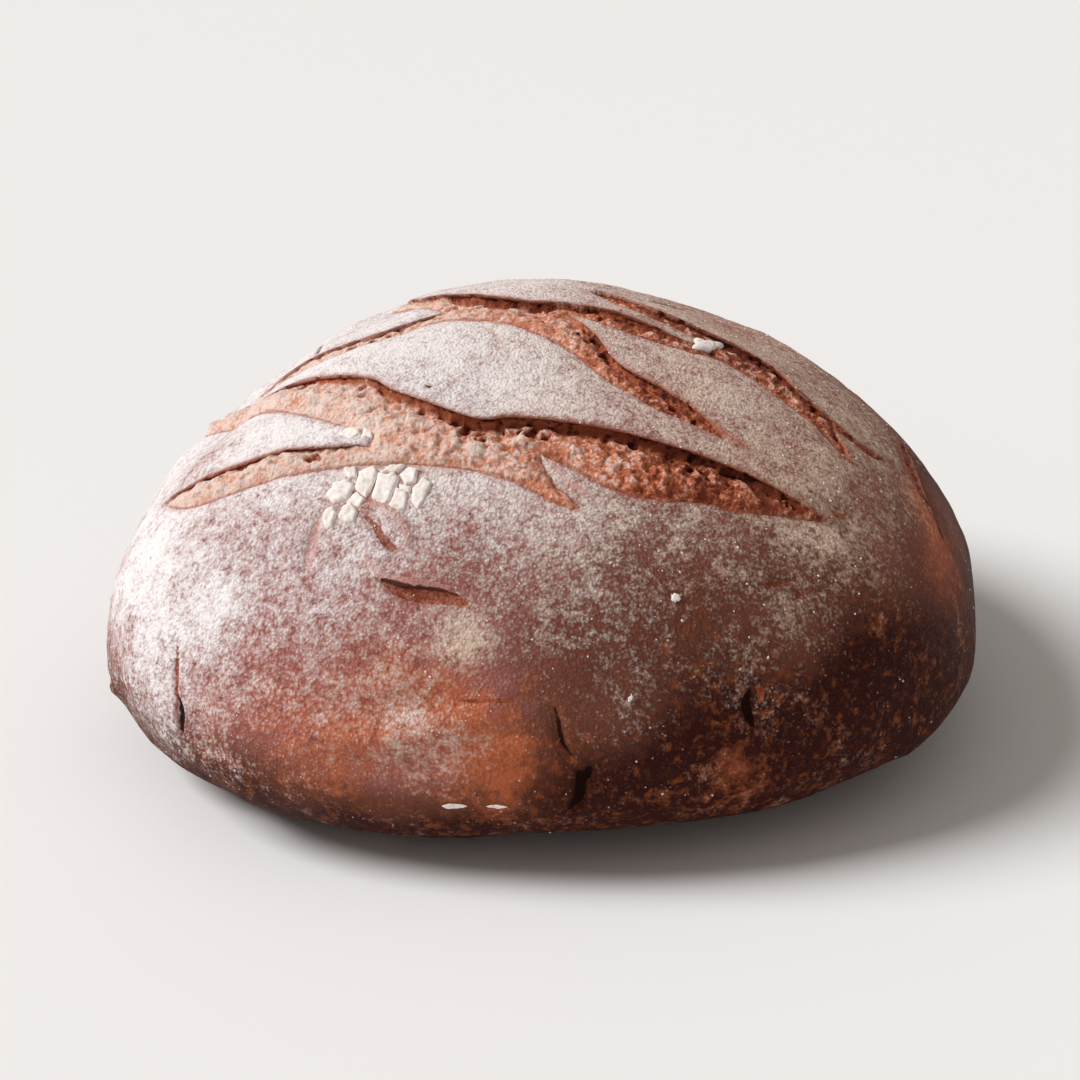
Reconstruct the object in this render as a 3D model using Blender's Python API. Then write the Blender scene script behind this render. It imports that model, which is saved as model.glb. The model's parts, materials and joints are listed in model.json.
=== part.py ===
"""A round sourdough loaf, uncut: one solid, 24 cm across and 11 cm high, in metres with +Z up.

The body is a squarish round seen from above and a soft dome seen from the side. Long cuts run across the
crown. Each one has burst open in the oven: on its uphill side the crust stands up as a lip, below the lip
lies a hollow of torn crumb, and the crumb rises again to meet the crust along a low seam.
"""

import math

import bpy
import numpy as np

MM = 0.001

# The body
HALF_WIDTH = 0.120
HALF_DEPTH = 0.1223
HEIGHT = 0.1162
WIDEST_LEVEL = 0.0251
BASE_SHARE = 0.7042
PLAN_TURN = math.radians(-5.98)
PLAN_SQUARENESS = 2.254
SWELL_ACROSS = 0.0168
SWELL_ALONG = -0.0274
DOME_SPREAD = 1.481
DOME_RISE = 2.111
UNDER_ROUND = 1.854

# The faces of the mesh
CELLS_ACROSS = 70
DOME_CELL_SHARE = 0.75
DOME_ARC_SHARE = 0.62
SNAP_CELLS = 0.5
BASE_RINGS = (0.5,)
OUTLINE_STEPS = 5

# Relief of the crust and the crumb
LIP_REACH = 13 * MM
LIP_FALL = 1.4
LIP_EDGE = 0.5 * MM
PLATE_STEEPNESS = 1.5
PLATE_SHARE_BESIDE = 0.3
OVERHANG = 1.6 * MM
OVERHANG_REACH = 4 * MM
END_TAPER = 0.5
SEAM_DROP = 0.8 * MM
SEAM_REACH = 4 * MM
HOLLOW_DEPTH = 4.2 * MM
HOLLOW_FALL = 1.5
HOLLOW_GAP = 2.6 * MM
HOLLOW_GAP_SHARE = 0.45
CRUMB_SWELL = 1.6 * MM
FULL_WIDTH = 11 * MM
CRUMB_ROUGHNESS = 0.3 * MM
LUMP_HEIGHT = 0.55 * MM
LUMP_WAVES = ((95, 0.9), (70, 0.8), (48, 0.6), (36, 0.4), (27, 0.3))
CALM_BELOW = 14 * MM
SEED = 7

# Each opening is a ring of edges in millimetres, seen from above: x to the right, y to the back.
# A lip stands up by its own height, and a seam lies low.
OPENINGS = {
    "front": [
        ("lip", 3.2, [(-94, 25), (-87, 8), (-79, -7.5), (-72, -16), (-55, -30), (-42, -40), (-35, -48), (-17, -60),
                      (-6, -60.5), (20, -64), (52, -68.5), (65, -71), (75, -71)]),
        ("seam", 0, [(75, -71), (65, -74), (51, -77.5), (41, -78), (28, -79.5), (17, -78), (7, -73), (0, -70)]),
        ("seam", 0, [(0, -70), (2, -76), (10, -83.5)]),
        ("seam", 0, [(10, -83.5), (4, -82.5), (-12, -75), (-40, -68.5), (-68, -62.5), (-89, -54.5), (-101, -39)]),
        ("lip", 2.8, [(-101, -39), (-95, -43), (-86, -46.5), (-76, -51), (-64, -54.5), (-53, -59.5), (-43, -62)]),
        ("seam", 0, [(-43, -62), (-43, -58.5), (-47, -55.5), (-56, -47), (-67, -35), (-81, -18), (-92, -3),
                     (-97, 10), (-94, 25)]),
    ],
    "crown": [
        ("lip", 1.0, [(-84, 14), (-78, 2), (-71.5, -4.3), (-65, -6.7), (-59, -8.8), (-52, -10.7), (-45, -11.7),
                      (-38.5, -12), (-31, -11.2), (-26, -9.8)]),
        ("seam", 0, [(-26, -9.8), (-29, -3), (-31.5, 3), (-35.5, 9), (-39, 17), (-42.5, 30), (-44.5, 42), (-45, 55)]),
        ("lip", 2.2, [(-45, 55), (-40, 44), (-36.5, 30), (-34, 18), (-32, 11), (-26, 4), (-18.5, -4), (-11, -9.5),
                      (-3, -13.2), (6, -14.3), (15, -15.5), (24, -18.4), (31, -21), (37, -23.2), (43, -23.3)]),
        ("seam", 0, [(43, -23.3), (40, -18.8), (35, -16.2), (29.5, -13), (21, -9), (16.5, -4.2), (13, 1)]),
        ("lip", 1.3, [(13, 1), (18.5, -0.5), (25, -4), (31, -7.5), (38, -10.5), (45, -12.8), (52, -14.5), (59, -17.2),
                      (64.5, -21), (68.5, -27), (74, -31.3), (80, -34.2), (86.5, -34.8), (93.5, -33)]),
        ("seam", 0, [(93.5, -33), (89, -36.5), (84, -37.6), (77, -36.4)]),
        ("lip", 0.6, [(77, -36.4), (77.6, -41), (78.8, -46), (80.6, -51.6)]),
        ("seam", 0, [(80.6, -51.6), (77.5, -48.5), (73.5, -43), (68, -38.5), (62.5, -34.3), (56, -30.3), (48, -26.8),
                     (39, -27.2), (32, -26.8), (23.5, -24.8), (17.5, -22.3), (13.3, -20.5), (8.5, -18)]),
        ("lip", 1.4, [(8.5, -18), (11.4, -22.6), (15.7, -29.5), (19, -37), (23, -41.5), (28.5, -45), (33, -48),
                      (37.5, -51.5), (42, -55), (45.6, -58.2), (50, -60.8), (55.5, -62.5)]),
        ("seam", 0, [(55.5, -62.5), (48.6, -61.4), (42, -59), (35, -56.6), (28.5, -54), (23.5, -50.5), (16.7, -45.2),
                     (11.5, -39), (5, -32), (-1.3, -27.6), (-7, -23.5), (-14, -20.2), (-25, -16), (-31, -15.6),
                     (-39, -16.5), (-50, -15.2), (-59, -13.9), (-65, -12), (-71.5, -9), (-79, -2.5), (-84, 6),
                     (-84, 14)]),
    ],
    "side": [
        ("lip", 0.9, [(70, 40), (82, 20), (89, 9), (94, -2), (96.3, -13), (96.8, -24), (97.6, -32), (99.6, -38),
                      (102.4, -44), (105.5, -49)]),
        ("seam", 0, [(105.5, -49), (105.4, -42), (104.6, -34), (103.6, -26), (102.8, -15), (101.6, -4), (97, 10),
                     (89, 24), (70, 40)]),
    ],
    "rear": [
        ("lip", 2.0, [(48, 68), (30, 76), (8, 81), (-16, 81), (-38, 74), (-60, 60)]),
        ("seam", 0, [(-60, 60), (-44, 81), (-18, 92), (10, 93), (32, 86), (48, 68)]),
    ],
}

# Small splits and folds: (bearing in degrees, height in millimetres) along each one, then half its
# width and its depth in millimetres. Bearings run anticlockwise from the right, seen from above.
SPLITS = [
    ([(244, 77), (246, 74.5), (250, 71), (256, 69), (261, 69)], 2.2, 2.4),
    ([(236, 81), (237, 77.5), (237, 73), (238.5, 70)], 2.4, 1.2),
    ([(272, 47), (271, 43), (272, 38), (274, 33)], 1.8, 1.2),
    ([(276, 30), (273, 21)], 2.2, 2.6),
    ([(295, 47), (294, 43), (295, 38)], 2.2, 2.2),
    ([(223, 53), (225, 45), (225, 35), (227, 30)], 2.0, 2.2),
]
FOLDS = [
    ([(258, 49), (265, 50), (271, 49)], 4.0, 1.0),
    ([(255, 40), (262, 44), (267, 45)], 5.0, -1.4),
    ([(214, 39), (215, 28)], 4.0, 1.2),
]
# Soft dents left by shaping and cooling: curve as (bearing, height), half width and depth in millimetres.
DENTS = [
    ([(152, 84), (158, 80), (166, 74)], 15.0, 3.6),
    ([(186, 85), (178, 86), (169, 86)], 14.0, 3.4),
    ([(125, 102), (132, 99), (140, 97)], 13.0, 2.4),
    ([(210, 22), (218, 18), (226, 14)], 8.5, 2.6),
    ([(268, 6), (285, 6), (300, 6), (316, 8)], 9.0, 1.8),
    ([(34, 103), (52, 105), (66, 107)], 14.0, 1.8),
    ([(3, 82), (11, 85), (17, 88)], 10.0, 1.0),
]
# Dry flour that stuck together: places as (bearing, height).
CLUMPS = [(236, 86), (239, 88), (243, 87), (246, 86), (248, 88), (237, 81), (240, 82), (240, 89), (246, 89)]
CLUMP_RADIUS = 4.2 * MM
CLUMP_HEIGHT = 1.5 * MM
SPLIT_ENDS = (0.08, 0.92)


def plan_radius(bearing):
    """Radius of the widest outline: a turned superellipse times a slight three-cornered swell."""
    across = np.abs(np.cos(bearing - PLAN_TURN) / HALF_WIDTH) ** PLAN_SQUARENESS
    along = np.abs(np.sin(bearing - PLAN_TURN) / HALF_DEPTH) ** PLAN_SQUARENESS
    swell = 1 + SWELL_ACROSS * np.cos(3 * bearing) + SWELL_ALONG * np.sin(3 * bearing)
    return swell * (across + along) ** (-1 / PLAN_SQUARENESS)


def profile(down):
    """Share of the plan radius, and height, at an angle down from the crown.

    A quarter turn down is the widest line and a half turn down is the edge of the flat base.
    """
    upper = np.clip(down, 0, math.pi / 2)
    under = np.clip(down - math.pi / 2, 0, math.pi / 2)
    dome_share = np.sin(upper) ** (2 / DOME_SPREAD)
    dome_height = WIDEST_LEVEL + (HEIGHT - WIDEST_LEVEL) * np.abs(np.cos(upper)) ** (2 / DOME_RISE)
    under_share = BASE_SHARE + (1 - BASE_SHARE) * np.abs(np.cos(under)) ** (2 / UNDER_ROUND)
    under_height = WIDEST_LEVEL * (1 - np.sin(under) ** (2 / UNDER_ROUND))
    above = down <= math.pi / 2
    return np.where(above, dome_share, under_share), np.where(above, dome_height, under_height)


def plan_centre():
    """Middle of the outline's extents, which becomes the origin."""
    bearing = np.linspace(0, 2 * math.pi, 721)
    x = plan_radius(bearing) * np.cos(bearing)
    y = plan_radius(bearing) * np.sin(bearing)
    return np.array([(x.max() + x.min()) / 2, (y.max() + y.min()) / 2, 0.0])


CENTRE = plan_centre()
DOWN_STEPS = np.linspace(0, math.pi, 1441)
PROFILE_SHARE, PROFILE_HEIGHT = profile(DOWN_STEPS)
PROFILE_ARC = np.hypot(np.diff(PROFILE_SHARE * HALF_WIDTH), np.diff(PROFILE_HEIGHT))
ARC_SHARE = np.concatenate([[0], np.cumsum(PROFILE_ARC) / PROFILE_ARC.sum()])
PROFILE_REACH = np.interp(ARC_SHARE, (0, DOME_ARC_SHARE, 1), (0, DOME_CELL_SHARE, 1))


def disc_of(a, b):
    """Square to disc: each ring of the square becomes a circle. Returns distance from the middle and bearing."""
    wide = np.abs(a) >= np.abs(b)
    ring = np.where(wide, a, b)
    safe = np.where(ring == 0, 1, ring)
    turn = np.where(wide, math.pi / 4 * b / safe, math.pi / 2 - math.pi / 4 * a / safe)
    return np.abs(ring), turn + np.where(ring < 0, math.pi, 0)


def square_of(reach, bearing):
    """Disc to square, the other way round."""
    u = reach * np.cos(bearing)
    v = reach * np.sin(bearing)
    wide = np.abs(u) >= np.abs(v)
    a = np.where(wide, np.sign(u) * reach, 0)
    b = np.where(wide, 0, np.sign(v) * reach)
    flat_b = a * np.arctan(v / np.where(wide & (u != 0), u, 1)) * 4 / math.pi
    flat_a = b * np.arctan(u / np.where(~wide, v, 1)) * 4 / math.pi
    return np.where(wide, a, flat_a), np.where(wide, flat_b, b)


def body_point(a, b):
    """Point of the smooth body over a point of the square."""
    reach, bearing = disc_of(a, b)
    share, height = profile(np.interp(reach, PROFILE_REACH, DOWN_STEPS))
    radius = share * plan_radius(bearing)
    return np.stack([radius * np.cos(bearing), radius * np.sin(bearing), height], -1) - CENTRE


def body_normal(a, b, step=1e-3):
    """Outward direction: the cross product of two short steps over the square."""
    along_a = body_point(a + step, b) - body_point(a - step, b)
    along_b = body_point(a, b + step) - body_point(a, b - step)
    normal = np.cross(along_a, along_b)
    return normal / np.linalg.norm(normal, axis=-1, keepdims=True)


def square_from_plan(points):
    """Points in millimetres seen from above, on the dome, carried to the square."""
    x, y = (np.asarray(points, float) * MM).T
    bearing = np.arctan2(y, x)
    share = np.clip(np.hypot(x, y) / plan_radius(bearing), 0, 0.9999)
    down = np.arcsin(share ** (DOME_SPREAD / 2))
    return np.stack(square_of(np.interp(down, DOWN_STEPS, PROFILE_REACH), bearing), -1)


def square_from_side(points):
    """Points given as bearing in degrees and height in millimetres, carried to the square."""
    degrees, height = np.asarray(points, float).T
    down = np.interp(-height * MM, -PROFILE_HEIGHT, DOWN_STEPS)
    return np.stack(square_of(np.interp(down, DOWN_STEPS, PROFILE_REACH), np.radians(degrees)), -1)


def smooth_curve(points, steps=OUTLINE_STEPS):
    """Curve through the points: on each span a cubic that leaves and arrives along the neighbours' chord."""
    p = np.asarray(points, float)
    if len(p) < 3:
        return np.linspace(p[0], p[-1], steps + 1)
    ends = np.vstack([2 * p[0] - p[1], p, 2 * p[-1] - p[-2]])
    p0, p1, p2, p3 = (ends[i:len(ends) - 3 + i, None] for i in range(4))
    t = np.linspace(0, 1, steps, endpoint=False)[None, :, None]
    spans = 0.5 * (2 * p1 + (p2 - p0) * t + (2 * p0 - 5 * p1 + 4 * p2 - p3) * t**2
                   + (3 * p1 - p0 - 3 * p2 + p3) * t**3)
    return np.vstack([spans.reshape(-1, 2), p[-1:]])


def nearest_on(points, curve):
    """For each point: distance to the curve, how far along it that is (0 to 1), and the nearest place."""
    best = np.full(len(points), np.inf)
    along = np.zeros(len(points))
    place = np.zeros_like(points)
    spans = len(curve) - 1
    for i in range(spans):
        start = curve[i]
        run = curve[i + 1] - start
        t = np.clip((points - start) @ run / max(run @ run, 1e-18), 0, 1)
        foot = start + t[:, None] * run
        distance = np.linalg.norm(points - foot, axis=1)
        closer = distance < best
        best[closer] = distance[closer]
        along[closer] = (i + t[closer]) / spans
        place[closer] = foot[closer]
    return best, along, place


def inside(points, ring):
    """Whether each point is inside the closed ring, by counting the crossings of a ray."""
    found = np.zeros(len(points), bool)
    x, y = points.T
    for (x0, y0), (x1, y1) in zip(ring, np.roll(ring, -1, axis=0)):
        if y0 == y1:
            continue
        crosses = (y0 > y) != (y1 > y)
        found ^= crosses & (x < x0 + (y - y0) * (x1 - x0) / (y1 - y0))
    return found


def waves(points):
    """Slow unevenness of the loaf: sine waves in seeded directions, in metres."""
    rng = np.random.default_rng(SEED)
    total = np.zeros(len(points))
    for length, strength in LUMP_WAVES:
        direction = rng.normal(size=3)
        direction /= np.linalg.norm(direction)
        total += strength * np.sin(2 * math.pi * points @ direction / (length * MM) + rng.uniform(0, 2 * math.pi))
    return LUMP_HEIGHT * total


def dents(points):
    """How deep each point lies in the soft dents: a bell of the distance to each dent's curve."""
    depth_there = np.zeros(len(points))
    for curve, half_width, depth in DENT_CURVES:
        gap, _, _ = nearest_on(points, body_point(*curve.T))
        depth_there += depth * MM * np.exp(-((gap / (half_width * MM)) ** 2))
    return depth_there


def snapped_grid():
    """Grid over the square, with the nodes nearest to a line of the shape moved onto it, and each one's line."""
    steps = np.linspace(-1, 1, CELLS_ACROSS + 1)
    a, b = np.meshgrid(steps, steps, indexing="ij")
    nodes = np.stack([a.ravel(), b.ravel()], -1)
    cell = 2 / CELLS_ACROSS
    reach = SNAP_CELLS * cell
    free = np.abs(nodes).max(axis=1) < 1 - cell / 2
    owner = np.full(len(nodes), -1)
    outlines = [(number, edge) for number, edges in enumerate(EDGES.values()) for _, _, edge in edges]
    others = list(enumerate(hollow_lines() + [split for split, _, _ in SPLIT_CURVES], start=len(EDGES)))
    for lines in (outlines, others):
        best = np.full(len(nodes), np.inf)
        target = nodes.copy()
        nearest = owner.copy()
        for number, line in lines:
            distance, _, place = nearest_on(nodes, line)
            closer = distance < best
            best[closer] = distance[closer]
            target[closer] = place[closer]
            nearest[closer] = number
        moves = free & (owner == -1) & (best < reach)
        nodes[moves] = target[moves]
        owner[moves] = nearest[moves]
    return nodes, owner


def triangles_of_grid(nodes, owner):
    """Two triangles for each cell, cut along the diagonal that follows a line of the shape where there is one."""
    n = CELLS_ACROSS + 1
    index = np.arange(n * n).reshape(n, n)
    c00, c10, c11, c01 = (q.ravel() for q in (index[:-1, :-1], index[1:, :-1], index[1:, 1:], index[:-1, 1:]))
    points = body_point(*nodes.T)
    rising = np.linalg.norm(points[c00] - points[c11], axis=1)
    falling = np.linalg.norm(points[c10] - points[c01], axis=1)
    use_rising = rising <= falling
    both_rising = (owner[c00] == owner[c11]) & (owner[c00] != -1)
    both_falling = (owner[c10] == owner[c01]) & (owner[c10] != -1)
    use_rising = np.where(both_rising & ~both_falling, True, use_rising)
    use_rising = np.where(both_falling & ~both_rising, False, use_rising)
    first = np.where(use_rising[:, None], np.stack([c00, c10, c11], 1), np.stack([c00, c10, c01], 1))
    second = np.where(use_rising[:, None], np.stack([c00, c11, c01], 1), np.stack([c10, c11, c01], 1))
    return np.vstack([first, second])


def across_lip(edge, normals, turn):
    """Directions along the surface, square to each span of a lip, that point into its opening."""
    curve = body_point(*edge.T)
    across = turn * np.cross(normals, np.diff(curve, axis=0))
    return across / np.linalg.norm(across, axis=1, keepdims=True)


def hollow_lines():
    """For each lip, the line at the foot of the torn wall below it, closer where the opening is narrow."""
    lines = []
    for name, edges in EDGES.items():
        seams = np.vstack([body_point(*edge.T) for kind, _, edge in edges if kind == "seam"])
        for kind, _, edge in edges:
            if kind == "seam":
                continue
            middle = (edge[1:] + edge[:-1]) / 2
            points = body_point(*middle.T)
            across = across_lip(edge, body_normal(*middle.T), TURN_OF_RING[name])
            room = np.linalg.norm(points[:, None] - seams[None], axis=2).min(axis=1)
            foot = points + np.minimum(HOLLOW_GAP, HOLLOW_GAP_SHARE * room)[:, None] * across + CENTRE
            lines.append(square_from_plan(foot[:, :2] / MM))
    return lines


def relief(nodes, points, normals, on_outline):
    """How far each point moves outward, how far it slides along the surface, and whether it is crumb."""
    outward = np.zeros(len(nodes))
    slide = np.zeros_like(points)
    lip_gap = np.full(len(nodes), np.inf)
    seam_gap = np.full(len(nodes), np.inf)
    crumb = np.zeros(len(nodes), bool)
    rings = {name: np.vstack([edge[:-1] for _, _, edge in edges]) for name, edges in EDGES.items()}
    for name, edges in EDGES.items():
        here = inside(nodes, rings[name]) & ~on_outline
        crumb |= here
        for kind, height, edge in edges:
            curve = body_point(*edge.T)
            gap, along, place = nearest_on(points, curve)
            nearest = lip_gap if kind == "lip" else seam_gap
            np.minimum(nearest, gap, out=nearest)
            taper = np.sin(math.pi * np.clip(along, 0, 1)) ** END_TAPER
            if kind == "seam":
                outward -= np.where(here, 0, SEAM_DROP * taper * np.exp(-gap / SEAM_REACH))
                continue
            spans = len(curve) - 1
            span = np.minimum((along * spans).astype(int), spans - 1)
            middle = (edge[1:] + edge[:-1]) / 2
            across = across_lip(edge, body_normal(*middle.T), TURN_OF_RING[name])[span]
            side = -np.einsum("ij,ij->i", points - place, across) / np.maximum(gap, 1e-9)
            beside = np.clip(PLATE_STEEPNESS * side + PLATE_SHARE_BESIDE, 0, 1)
            plate = np.where(on_outline & (gap < LIP_EDGE), 1, beside)
            plate = np.where(here, 0, plate)
            outward += plate * taper * height * MM * np.exp(-((gap / LIP_REACH) ** LIP_FALL))
            slide += (plate * taper * OVERHANG * np.exp(-gap / OVERHANG_REACH))[:, None] * across
    width = lip_gap + seam_gap
    deep = np.minimum(width / FULL_WIDTH, 1)
    rise = lip_gap / np.maximum(width, 1e-9)
    floor = -HOLLOW_DEPTH * (1 - rise) ** HOLLOW_FALL + CRUMB_SWELL * np.sin(math.pi * rise)
    rough = CRUMB_ROUGHNESS * np.random.default_rng(SEED + 1).uniform(-1, 1, len(nodes))
    outward = np.where(crumb, deep * floor + rough, outward)
    return outward, np.where(crumb[:, None], 0, slide), crumb


def small_relief(points):
    """Splits and folds as rounded grooves or ridges, and clumps of flour as low mounds."""
    outward = np.zeros(len(points))
    for curve, half_width, depth in SPLIT_CURVES + FOLD_CURVES:
        gap, along, _ = nearest_on(points, body_point(*curve.T))
        taper = np.sin(math.pi * np.clip(along, *SPLIT_ENDS)) ** END_TAPER
        outward -= taper * depth * MM * np.exp(-((gap / (half_width * MM)) ** 2))
    for place in body_point(*square_from_side(CLUMPS).T):
        gap = np.linalg.norm(points - place, axis=1)
        outward += CLUMP_HEIGHT * np.exp(-((gap / CLUMP_RADIUS) ** 4))
    return outward


def loaf_mesh():
    """Points and triangles of the whole closed loaf."""
    nodes, owner = snapped_grid()
    faces = triangles_of_grid(nodes, owner)
    points = body_point(*nodes.T)
    normals = body_normal(*nodes.T)
    on_outline = (owner >= 0) & (owner < len(EDGES))
    outward, slide, crumb = relief(nodes, points, normals, on_outline)
    outward += np.where(crumb, 0, small_relief(points)) + waves(points)
    calm = np.clip(points[:, 2] / CALM_BELOW, 0, 1)
    calm = calm * calm * (3 - 2 * calm)
    points = points + calm[:, None] * (outward[:, None] * normals + slide) - dents(points)[:, None] * normals

    n = CELLS_ACROSS + 1
    index = np.arange(n * n).reshape(n, n)
    rim = np.concatenate([index[:-1, 0], index[-1, :-1], index[:0:-1, -1], index[0, :0:-1]])
    points[rim, 2] = 0
    middle = points[rim].mean(axis=0)
    outer = rim
    parts = [faces]
    for share in BASE_RINGS:
        inner = len(points) + np.arange(len(rim))
        points = np.vstack([points, middle + share * (points[rim] - middle)])
        after = np.roll(np.arange(len(rim)), -1)
        parts.append(np.stack([outer, inner[after], outer[after]], 1))
        parts.append(np.stack([outer, inner, inner[after]], 1))
        outer = inner
    points = np.vstack([points, middle])
    after = np.roll(outer, -1)
    parts.append(np.stack([outer, np.full(len(outer), len(points) - 1), after], 1))
    return points, np.vstack(parts)


def crust_material():
    """Floured, well-baked crust."""
    material = bpy.data.materials.new("floured crust")
    material.use_nodes = True
    shader = material.node_tree.nodes["Principled BSDF"]
    shader.inputs["Base Color"].default_value = (0.42, 0.25, 0.17, 1)
    shader.inputs["Roughness"].default_value = 0.8
    shader.inputs["Metallic"].default_value = 0.0
    return material


def ring_turn(edges):
    """+1 where the ring of edges runs anticlockwise over the square, -1 where it runs clockwise."""
    x, y = np.vstack([edge[:-1] for _, _, edge in edges]).T
    return math.copysign(1, np.sum(x * np.roll(y, -1) - np.roll(x, -1) * y))


EDGES = {
    name: [(kind, height, square_from_plan(smooth_curve(points))) for kind, height, points in edges]
    for name, edges in OPENINGS.items()
}
TURN_OF_RING = {name: ring_turn(edges) for name, edges in EDGES.items()}
SPLIT_CURVES = [(square_from_side(smooth_curve(points)), width, depth) for points, width, depth in SPLITS]
FOLD_CURVES = [(square_from_side(smooth_curve(points)), width, depth) for points, width, depth in FOLDS]
DENT_CURVES = [(square_from_side(smooth_curve(points)), width, depth) for points, width, depth in DENTS]


def main():
    for old in list(bpy.data.objects):
        bpy.data.objects.remove(old)
    points, faces = loaf_mesh()
    mesh = bpy.data.meshes.new("loaf")
    mesh.from_pydata(points.tolist(), [], faces.tolist())
    mesh.update()
    mesh.materials.append(crust_material())
    mesh.shade_smooth()
    loaf = bpy.data.objects.new("loaf", mesh)
    bpy.context.scene.collection.objects.link(loaf)
    low = points.min(axis=0) / MM
    high = points.max(axis=0) / MM
    print("loaf", len(faces), "triangles, from", np.round(low, 1), "to", np.round(high, 1), "mm")


main()
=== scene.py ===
# %% [markdown]
# # A floured sourdough loaf
#
# The loaf is a round hearth bread, 24 cm across. Its crust is a thin floured skin that was cut with a blade
# before baking. In the oven each cut burst open: one side stood up as a lip, and torn crumb shows between
# the lip and the low seam on the other side.
#
# The construction model gives the true size and the main form. This lesson dresses it with a fine crust,
# torn crumb, flour and baked colour.

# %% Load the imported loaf
import json
import math

import bpy
import numpy as np
from mathutils import Matrix, Vector

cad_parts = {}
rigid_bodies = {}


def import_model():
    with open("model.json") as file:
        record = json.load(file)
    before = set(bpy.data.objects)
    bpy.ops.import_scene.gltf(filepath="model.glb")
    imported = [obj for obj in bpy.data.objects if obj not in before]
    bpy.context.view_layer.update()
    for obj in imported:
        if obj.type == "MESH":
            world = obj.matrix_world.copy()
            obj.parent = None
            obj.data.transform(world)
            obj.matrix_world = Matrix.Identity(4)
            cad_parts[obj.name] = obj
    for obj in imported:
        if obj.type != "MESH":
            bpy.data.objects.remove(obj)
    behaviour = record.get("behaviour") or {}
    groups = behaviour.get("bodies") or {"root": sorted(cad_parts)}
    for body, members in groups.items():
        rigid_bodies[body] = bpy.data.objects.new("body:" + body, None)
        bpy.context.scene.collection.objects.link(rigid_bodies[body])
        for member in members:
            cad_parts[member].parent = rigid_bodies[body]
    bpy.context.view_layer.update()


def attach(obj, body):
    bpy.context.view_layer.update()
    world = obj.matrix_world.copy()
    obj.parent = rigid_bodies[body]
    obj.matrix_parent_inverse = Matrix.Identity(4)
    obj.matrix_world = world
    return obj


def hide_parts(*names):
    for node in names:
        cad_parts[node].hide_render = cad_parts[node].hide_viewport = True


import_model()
for name in ("Cube", "Camera", "Light"):
    if name in bpy.data.objects:
        bpy.data.objects.remove(bpy.data.objects[name])
MM = 0.001

# %% [markdown]
# ## The body of the loaf
#
# Seen from above a hand-shaped loaf is a round that leans towards a square, and seen from the side it is a
# soft dome on a small flat base. Both outlines are superellipses: an ellipse whose power is not quite 2.
# A subdivided box could be sculpted towards this, but a formula can be measured, and it repeats the
# construction model exactly, so that everything laid on the surface later finds its place.

# %% Outline from above and from the side
HALF_WIDTH = 0.120
HALF_DEPTH = 0.1223
HEIGHT = 0.1162
WIDEST_LEVEL = 0.0251
BASE_SHARE = 0.7042
PLAN_TURN = math.radians(-5.98)
PLAN_SQUARENESS = 2.254
SWELL_ACROSS = 0.0168
SWELL_ALONG = -0.0274
DOME_SPREAD = 1.481
DOME_RISE = 2.111
UNDER_ROUND = 1.854


def plan_radius(bearing):
    """Radius of the widest outline: a turned superellipse times a slight three-cornered swell."""
    across = np.abs(np.cos(bearing - PLAN_TURN) / HALF_WIDTH) ** PLAN_SQUARENESS
    along = np.abs(np.sin(bearing - PLAN_TURN) / HALF_DEPTH) ** PLAN_SQUARENESS
    swell = 1 + SWELL_ACROSS * np.cos(3 * bearing) + SWELL_ALONG * np.sin(3 * bearing)
    return swell * (across + along) ** (-1 / PLAN_SQUARENESS)


def profile(down):
    """Share of the plan radius, and height, at an angle down from the crown.

    Over the dome the share is the sine of the angle and the height its cosine, each to its own power. Past a
    quarter turn the same rule curls in under the loaf to the edge of the flat base.
    """
    upper = np.clip(down, 0, math.pi / 2)
    under = np.clip(down - math.pi / 2, 0, math.pi / 2)
    dome_share = np.sin(upper) ** (2 / DOME_SPREAD)
    dome_height = WIDEST_LEVEL + (HEIGHT - WIDEST_LEVEL) * np.abs(np.cos(upper)) ** (2 / DOME_RISE)
    under_share = BASE_SHARE + (1 - BASE_SHARE) * np.abs(np.cos(under)) ** (2 / UNDER_ROUND)
    under_height = WIDEST_LEVEL * (1 - np.sin(under) ** (2 / UNDER_ROUND))
    above = down <= math.pi / 2
    return np.where(above, dome_share, under_share), np.where(above, dome_height, under_height)


turns = np.linspace(0, 2 * math.pi, 721)
plan_x, plan_y = plan_radius(turns) * np.cos(turns), plan_radius(turns) * np.sin(turns)
CENTRE = np.array([(plan_x.max() + plan_x.min()) / 2, (plan_y.max() + plan_y.min()) / 2, 0.0])
DOWN_STEPS = np.linspace(0, math.pi, 1441)
PROFILE_SHARE, PROFILE_HEIGHT = profile(DOWN_STEPS)
arc = np.hypot(np.diff(PROFILE_SHARE * HALF_WIDTH), np.diff(PROFILE_HEIGHT))
ARC_LENGTH = arc.sum()
PROFILE_REACH = np.concatenate([[0], np.cumsum(arc)]) / ARC_LENGTH
print("crown to base edge over the surface:", round(ARC_LENGTH / MM), "mm")

# %% [markdown]
# ## One square for the whole skin
#
# A dome closed at a pole has crowded, thin faces there. Instead a square grid is wrapped over the loaf: each
# ring of the square becomes a ring round the crown, so there is no pole at all. The front of the loaf has the
# small splits, so the grid is drawn a little closer there. Every place on the loaf is then two numbers
# from -1 to 1, and the surface is one function of them.

# %% From the square to the loaf and back
FRONT_DRAW = 0.16


def disc_of(a, b):
    """Square to disc: each ring of the square becomes a circle. Returns distance from the middle and bearing.

    The second number is first drawn towards the front by a slight parabola.
    """
    b = b - FRONT_DRAW * (1 - b**2)
    wide = np.abs(a) >= np.abs(b)
    ring = np.where(wide, a, b)
    safe = np.where(ring == 0, 1, ring)
    turn = np.where(wide, math.pi / 4 * b / safe, math.pi / 2 - math.pi / 4 * a / safe)
    return np.abs(ring), turn + np.where(ring < 0, math.pi, 0)


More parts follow.
